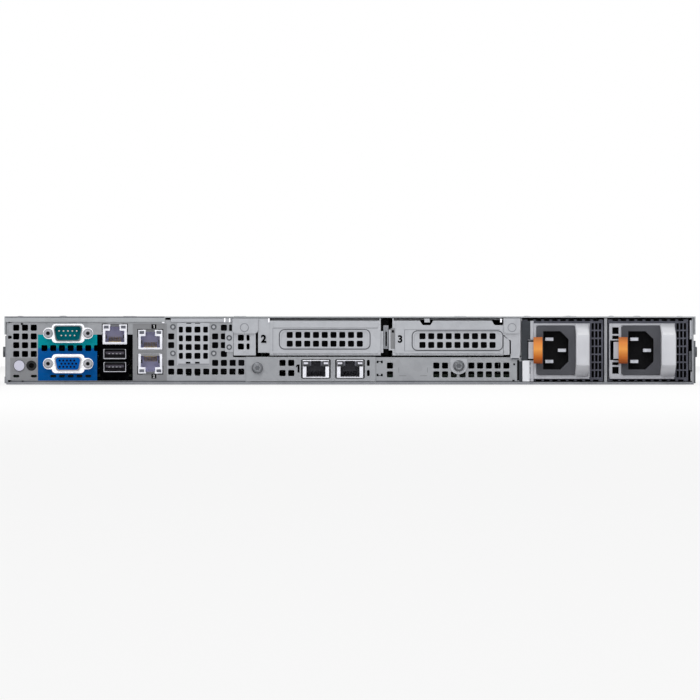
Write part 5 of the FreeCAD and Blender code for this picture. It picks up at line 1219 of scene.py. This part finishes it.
def body_and_inside():
    # The tray's rear lip is painted darker: painted shade under the panel
    tray_lip_shade = within(y=(-endless, rear_y + 0.1), z=(-endless, 3.0))
    dress("chassis_tray", 0.25, zones=((mid_zinc_and_shade, tray_lip_shade),))
    # The cover's rear faces above the lip's bend and its left flange edge are painted darker: painted shade
    cover_edge_shade = either(within(z=(42.0, endless), rear_only=True), within((-endless, -216.0), rear_only=True))
    dress("top_cover", 0.2, zones=((edge_shade_steel, cover_edge_shade),))
    cover_details()
    side_rivets()
    board_blocks()
    board_cans()
    dress("cover_latch", 0.5, 3)
    dress("rail_studs", 0.3, finish=dim_zinc_and_shade)
    board_socket = within(z=(board_top + 0.05, endless))
    dress("system_board", 0.1, 1,
          zones=((board_edge, within(rear_only=True)), (black_plastic, board_socket)))
    dress("memory_modules", 0.1, 1, zones=((chip_black, module_chip),))
    for node in ("cards", "heat_sinks", "fan_cage", "drive_backplane", "drive_cage"):
        dress(node, 0.1, 1)
    dress("air_shroud", 0.3)
    dress("fan_frames", 0.3)
    for number in range(1, 7):
        dress("rotor_%d" % number, 0.2)
    for number, x in carrier_places.items():
        dress("carrier_%d" % number, 0.3, zones=((recess_shade_black, bezel_cell(x)),))
        dress("disk_%d" % number, 0.4)
        dress("handle_%d" % number, 0.3)
        dress("button_%d" % number, 0.6, 3)
        carrier_details(number, x)
    for number, x in blank_places.items():
        dress("blank_%d" % number, 0.3, zones=((recess_shade_black, bezel_cell(x)),))
    dress("rack_ears", 0.3)
    dress("left_control_panel", 0.4, zones=((lens_green, panel_lamp),))
    # Inside the front socket, painted black: painted shade
    front_socket = within(around(control_x, 3.6), (325.0, 332.4), (-endless, 27.0))
    dress("right_control_panel", 0.4, zones=((recess_shade_black, front_socket),))
    dress("power_button", 0.3)


# Floor, light and camera

def mix_shaders(tree, factor, first, second, output):
    mix = tree.nodes.new("ShaderNodeMixShader")
    for source, socket in zip((factor, first.outputs[0], second.outputs[0]), mix.inputs):
        tree.links.new(source, socket)
    tree.links.new(mix.outputs[0], tree.nodes[output].inputs["Surface"])


def white_floor():
    # A floor that also glows, for the camera alone
    mesh = bmesh.new()
    bmesh.ops.create_grid(mesh, x_segments=1, y_segments=1, size=6)
    bmesh.ops.translate(mesh, vec=(0, 0, -0.4 * mm), verts=mesh.verts[:])
    data = bpy.data.meshes.new("floor")
    mesh.to_mesh(data)
    mesh.free()
    floor = bpy.data.objects.new("floor", data)
    scene.collection.objects.link(floor)
    finish = new_finish("floor_white", 0.9)
    tree = finish.node_tree
    shader = tree.nodes["Principled BSDF"]
    shader.inputs["Base Color"].default_value = (0.9, 0.9, 0.9, 1)
    rays = tree.nodes.new("ShaderNodeLightPath").outputs
    glow = add_maths(tree, "MULTIPLY", rays["Is Camera Ray"], 0.8)
    mix_shaders(tree, glow, shader, tree.nodes.new("ShaderNodeEmission"), "Material Output")
    data.materials.append(finish)


def white_studio():
    # Dim light from all round, which the camera, reflections and clear parts see as plain white
    world = bpy.data.worlds.new("studio")
    scene.world = world
    world.use_nodes = True
    tree = world.node_tree
    light = tree.nodes["Background"]
    seen = tree.nodes.new("ShaderNodeBackground")
    for source, strength in ((light, 0.42), (seen, 1.0)):
        source.inputs["Color"].default_value = (1, 1, 1, 1)
        source.inputs["Strength"].default_value = strength
    rays = tree.nodes.new("ShaderNodeLightPath").outputs
    mirrored = add_maths(tree, "MAXIMUM", rays["Is Camera Ray"], rays["Is Glossy Ray"])
    white = add_maths(tree, "MAXIMUM", mirrored, rays["Is Transmission Ray"])
    mix_shaders(tree, white, light, seen, "World Output")


def add_lamp(name, place, aim, size, power):
    lamp = bpy.data.lights.new(name, "AREA")
    lamp.size = size
    lamp.energy = power
    holder = bpy.data.objects.new(name, lamp)
    holder.location = place
    holder.rotation_euler = (Vector(aim) - Vector(place)).to_track_quat("-Z", "Y").to_euler()
    scene.collection.objects.link(holder)


def camera():
    distance = 5.5
    view_width = 0.4396
    eye_height = 0.0217
    lens = bpy.data.cameras.new("camera")
    lens.sensor_width = 36
    lens.lens = lens.sensor_width * distance / view_width
    lens.clip_end = 100
    holder = bpy.data.objects.new("camera", lens)
    holder.location = (0, rear_y * mm - distance, eye_height)
    holder.rotation_euler = (math.pi / 2, 0, 0)
    scene.collection.objects.link(holder)
    scene.camera = holder


rear_face()
ports()
power_supplies()
body_and_inside()
white_floor()
white_studio()
add_lamp("key", (-0.7, -2.0, 2.0), (0, -0.2, 0), 2.2, 36)
add_lamp("front", (0.35, -6.6, 1.0), (0, -0.2, 0), 4.4, 58)
add_lamp("back", (0.8, 2.0, 1.8), (0, 0.2, 0), 1.6, 22)
camera()
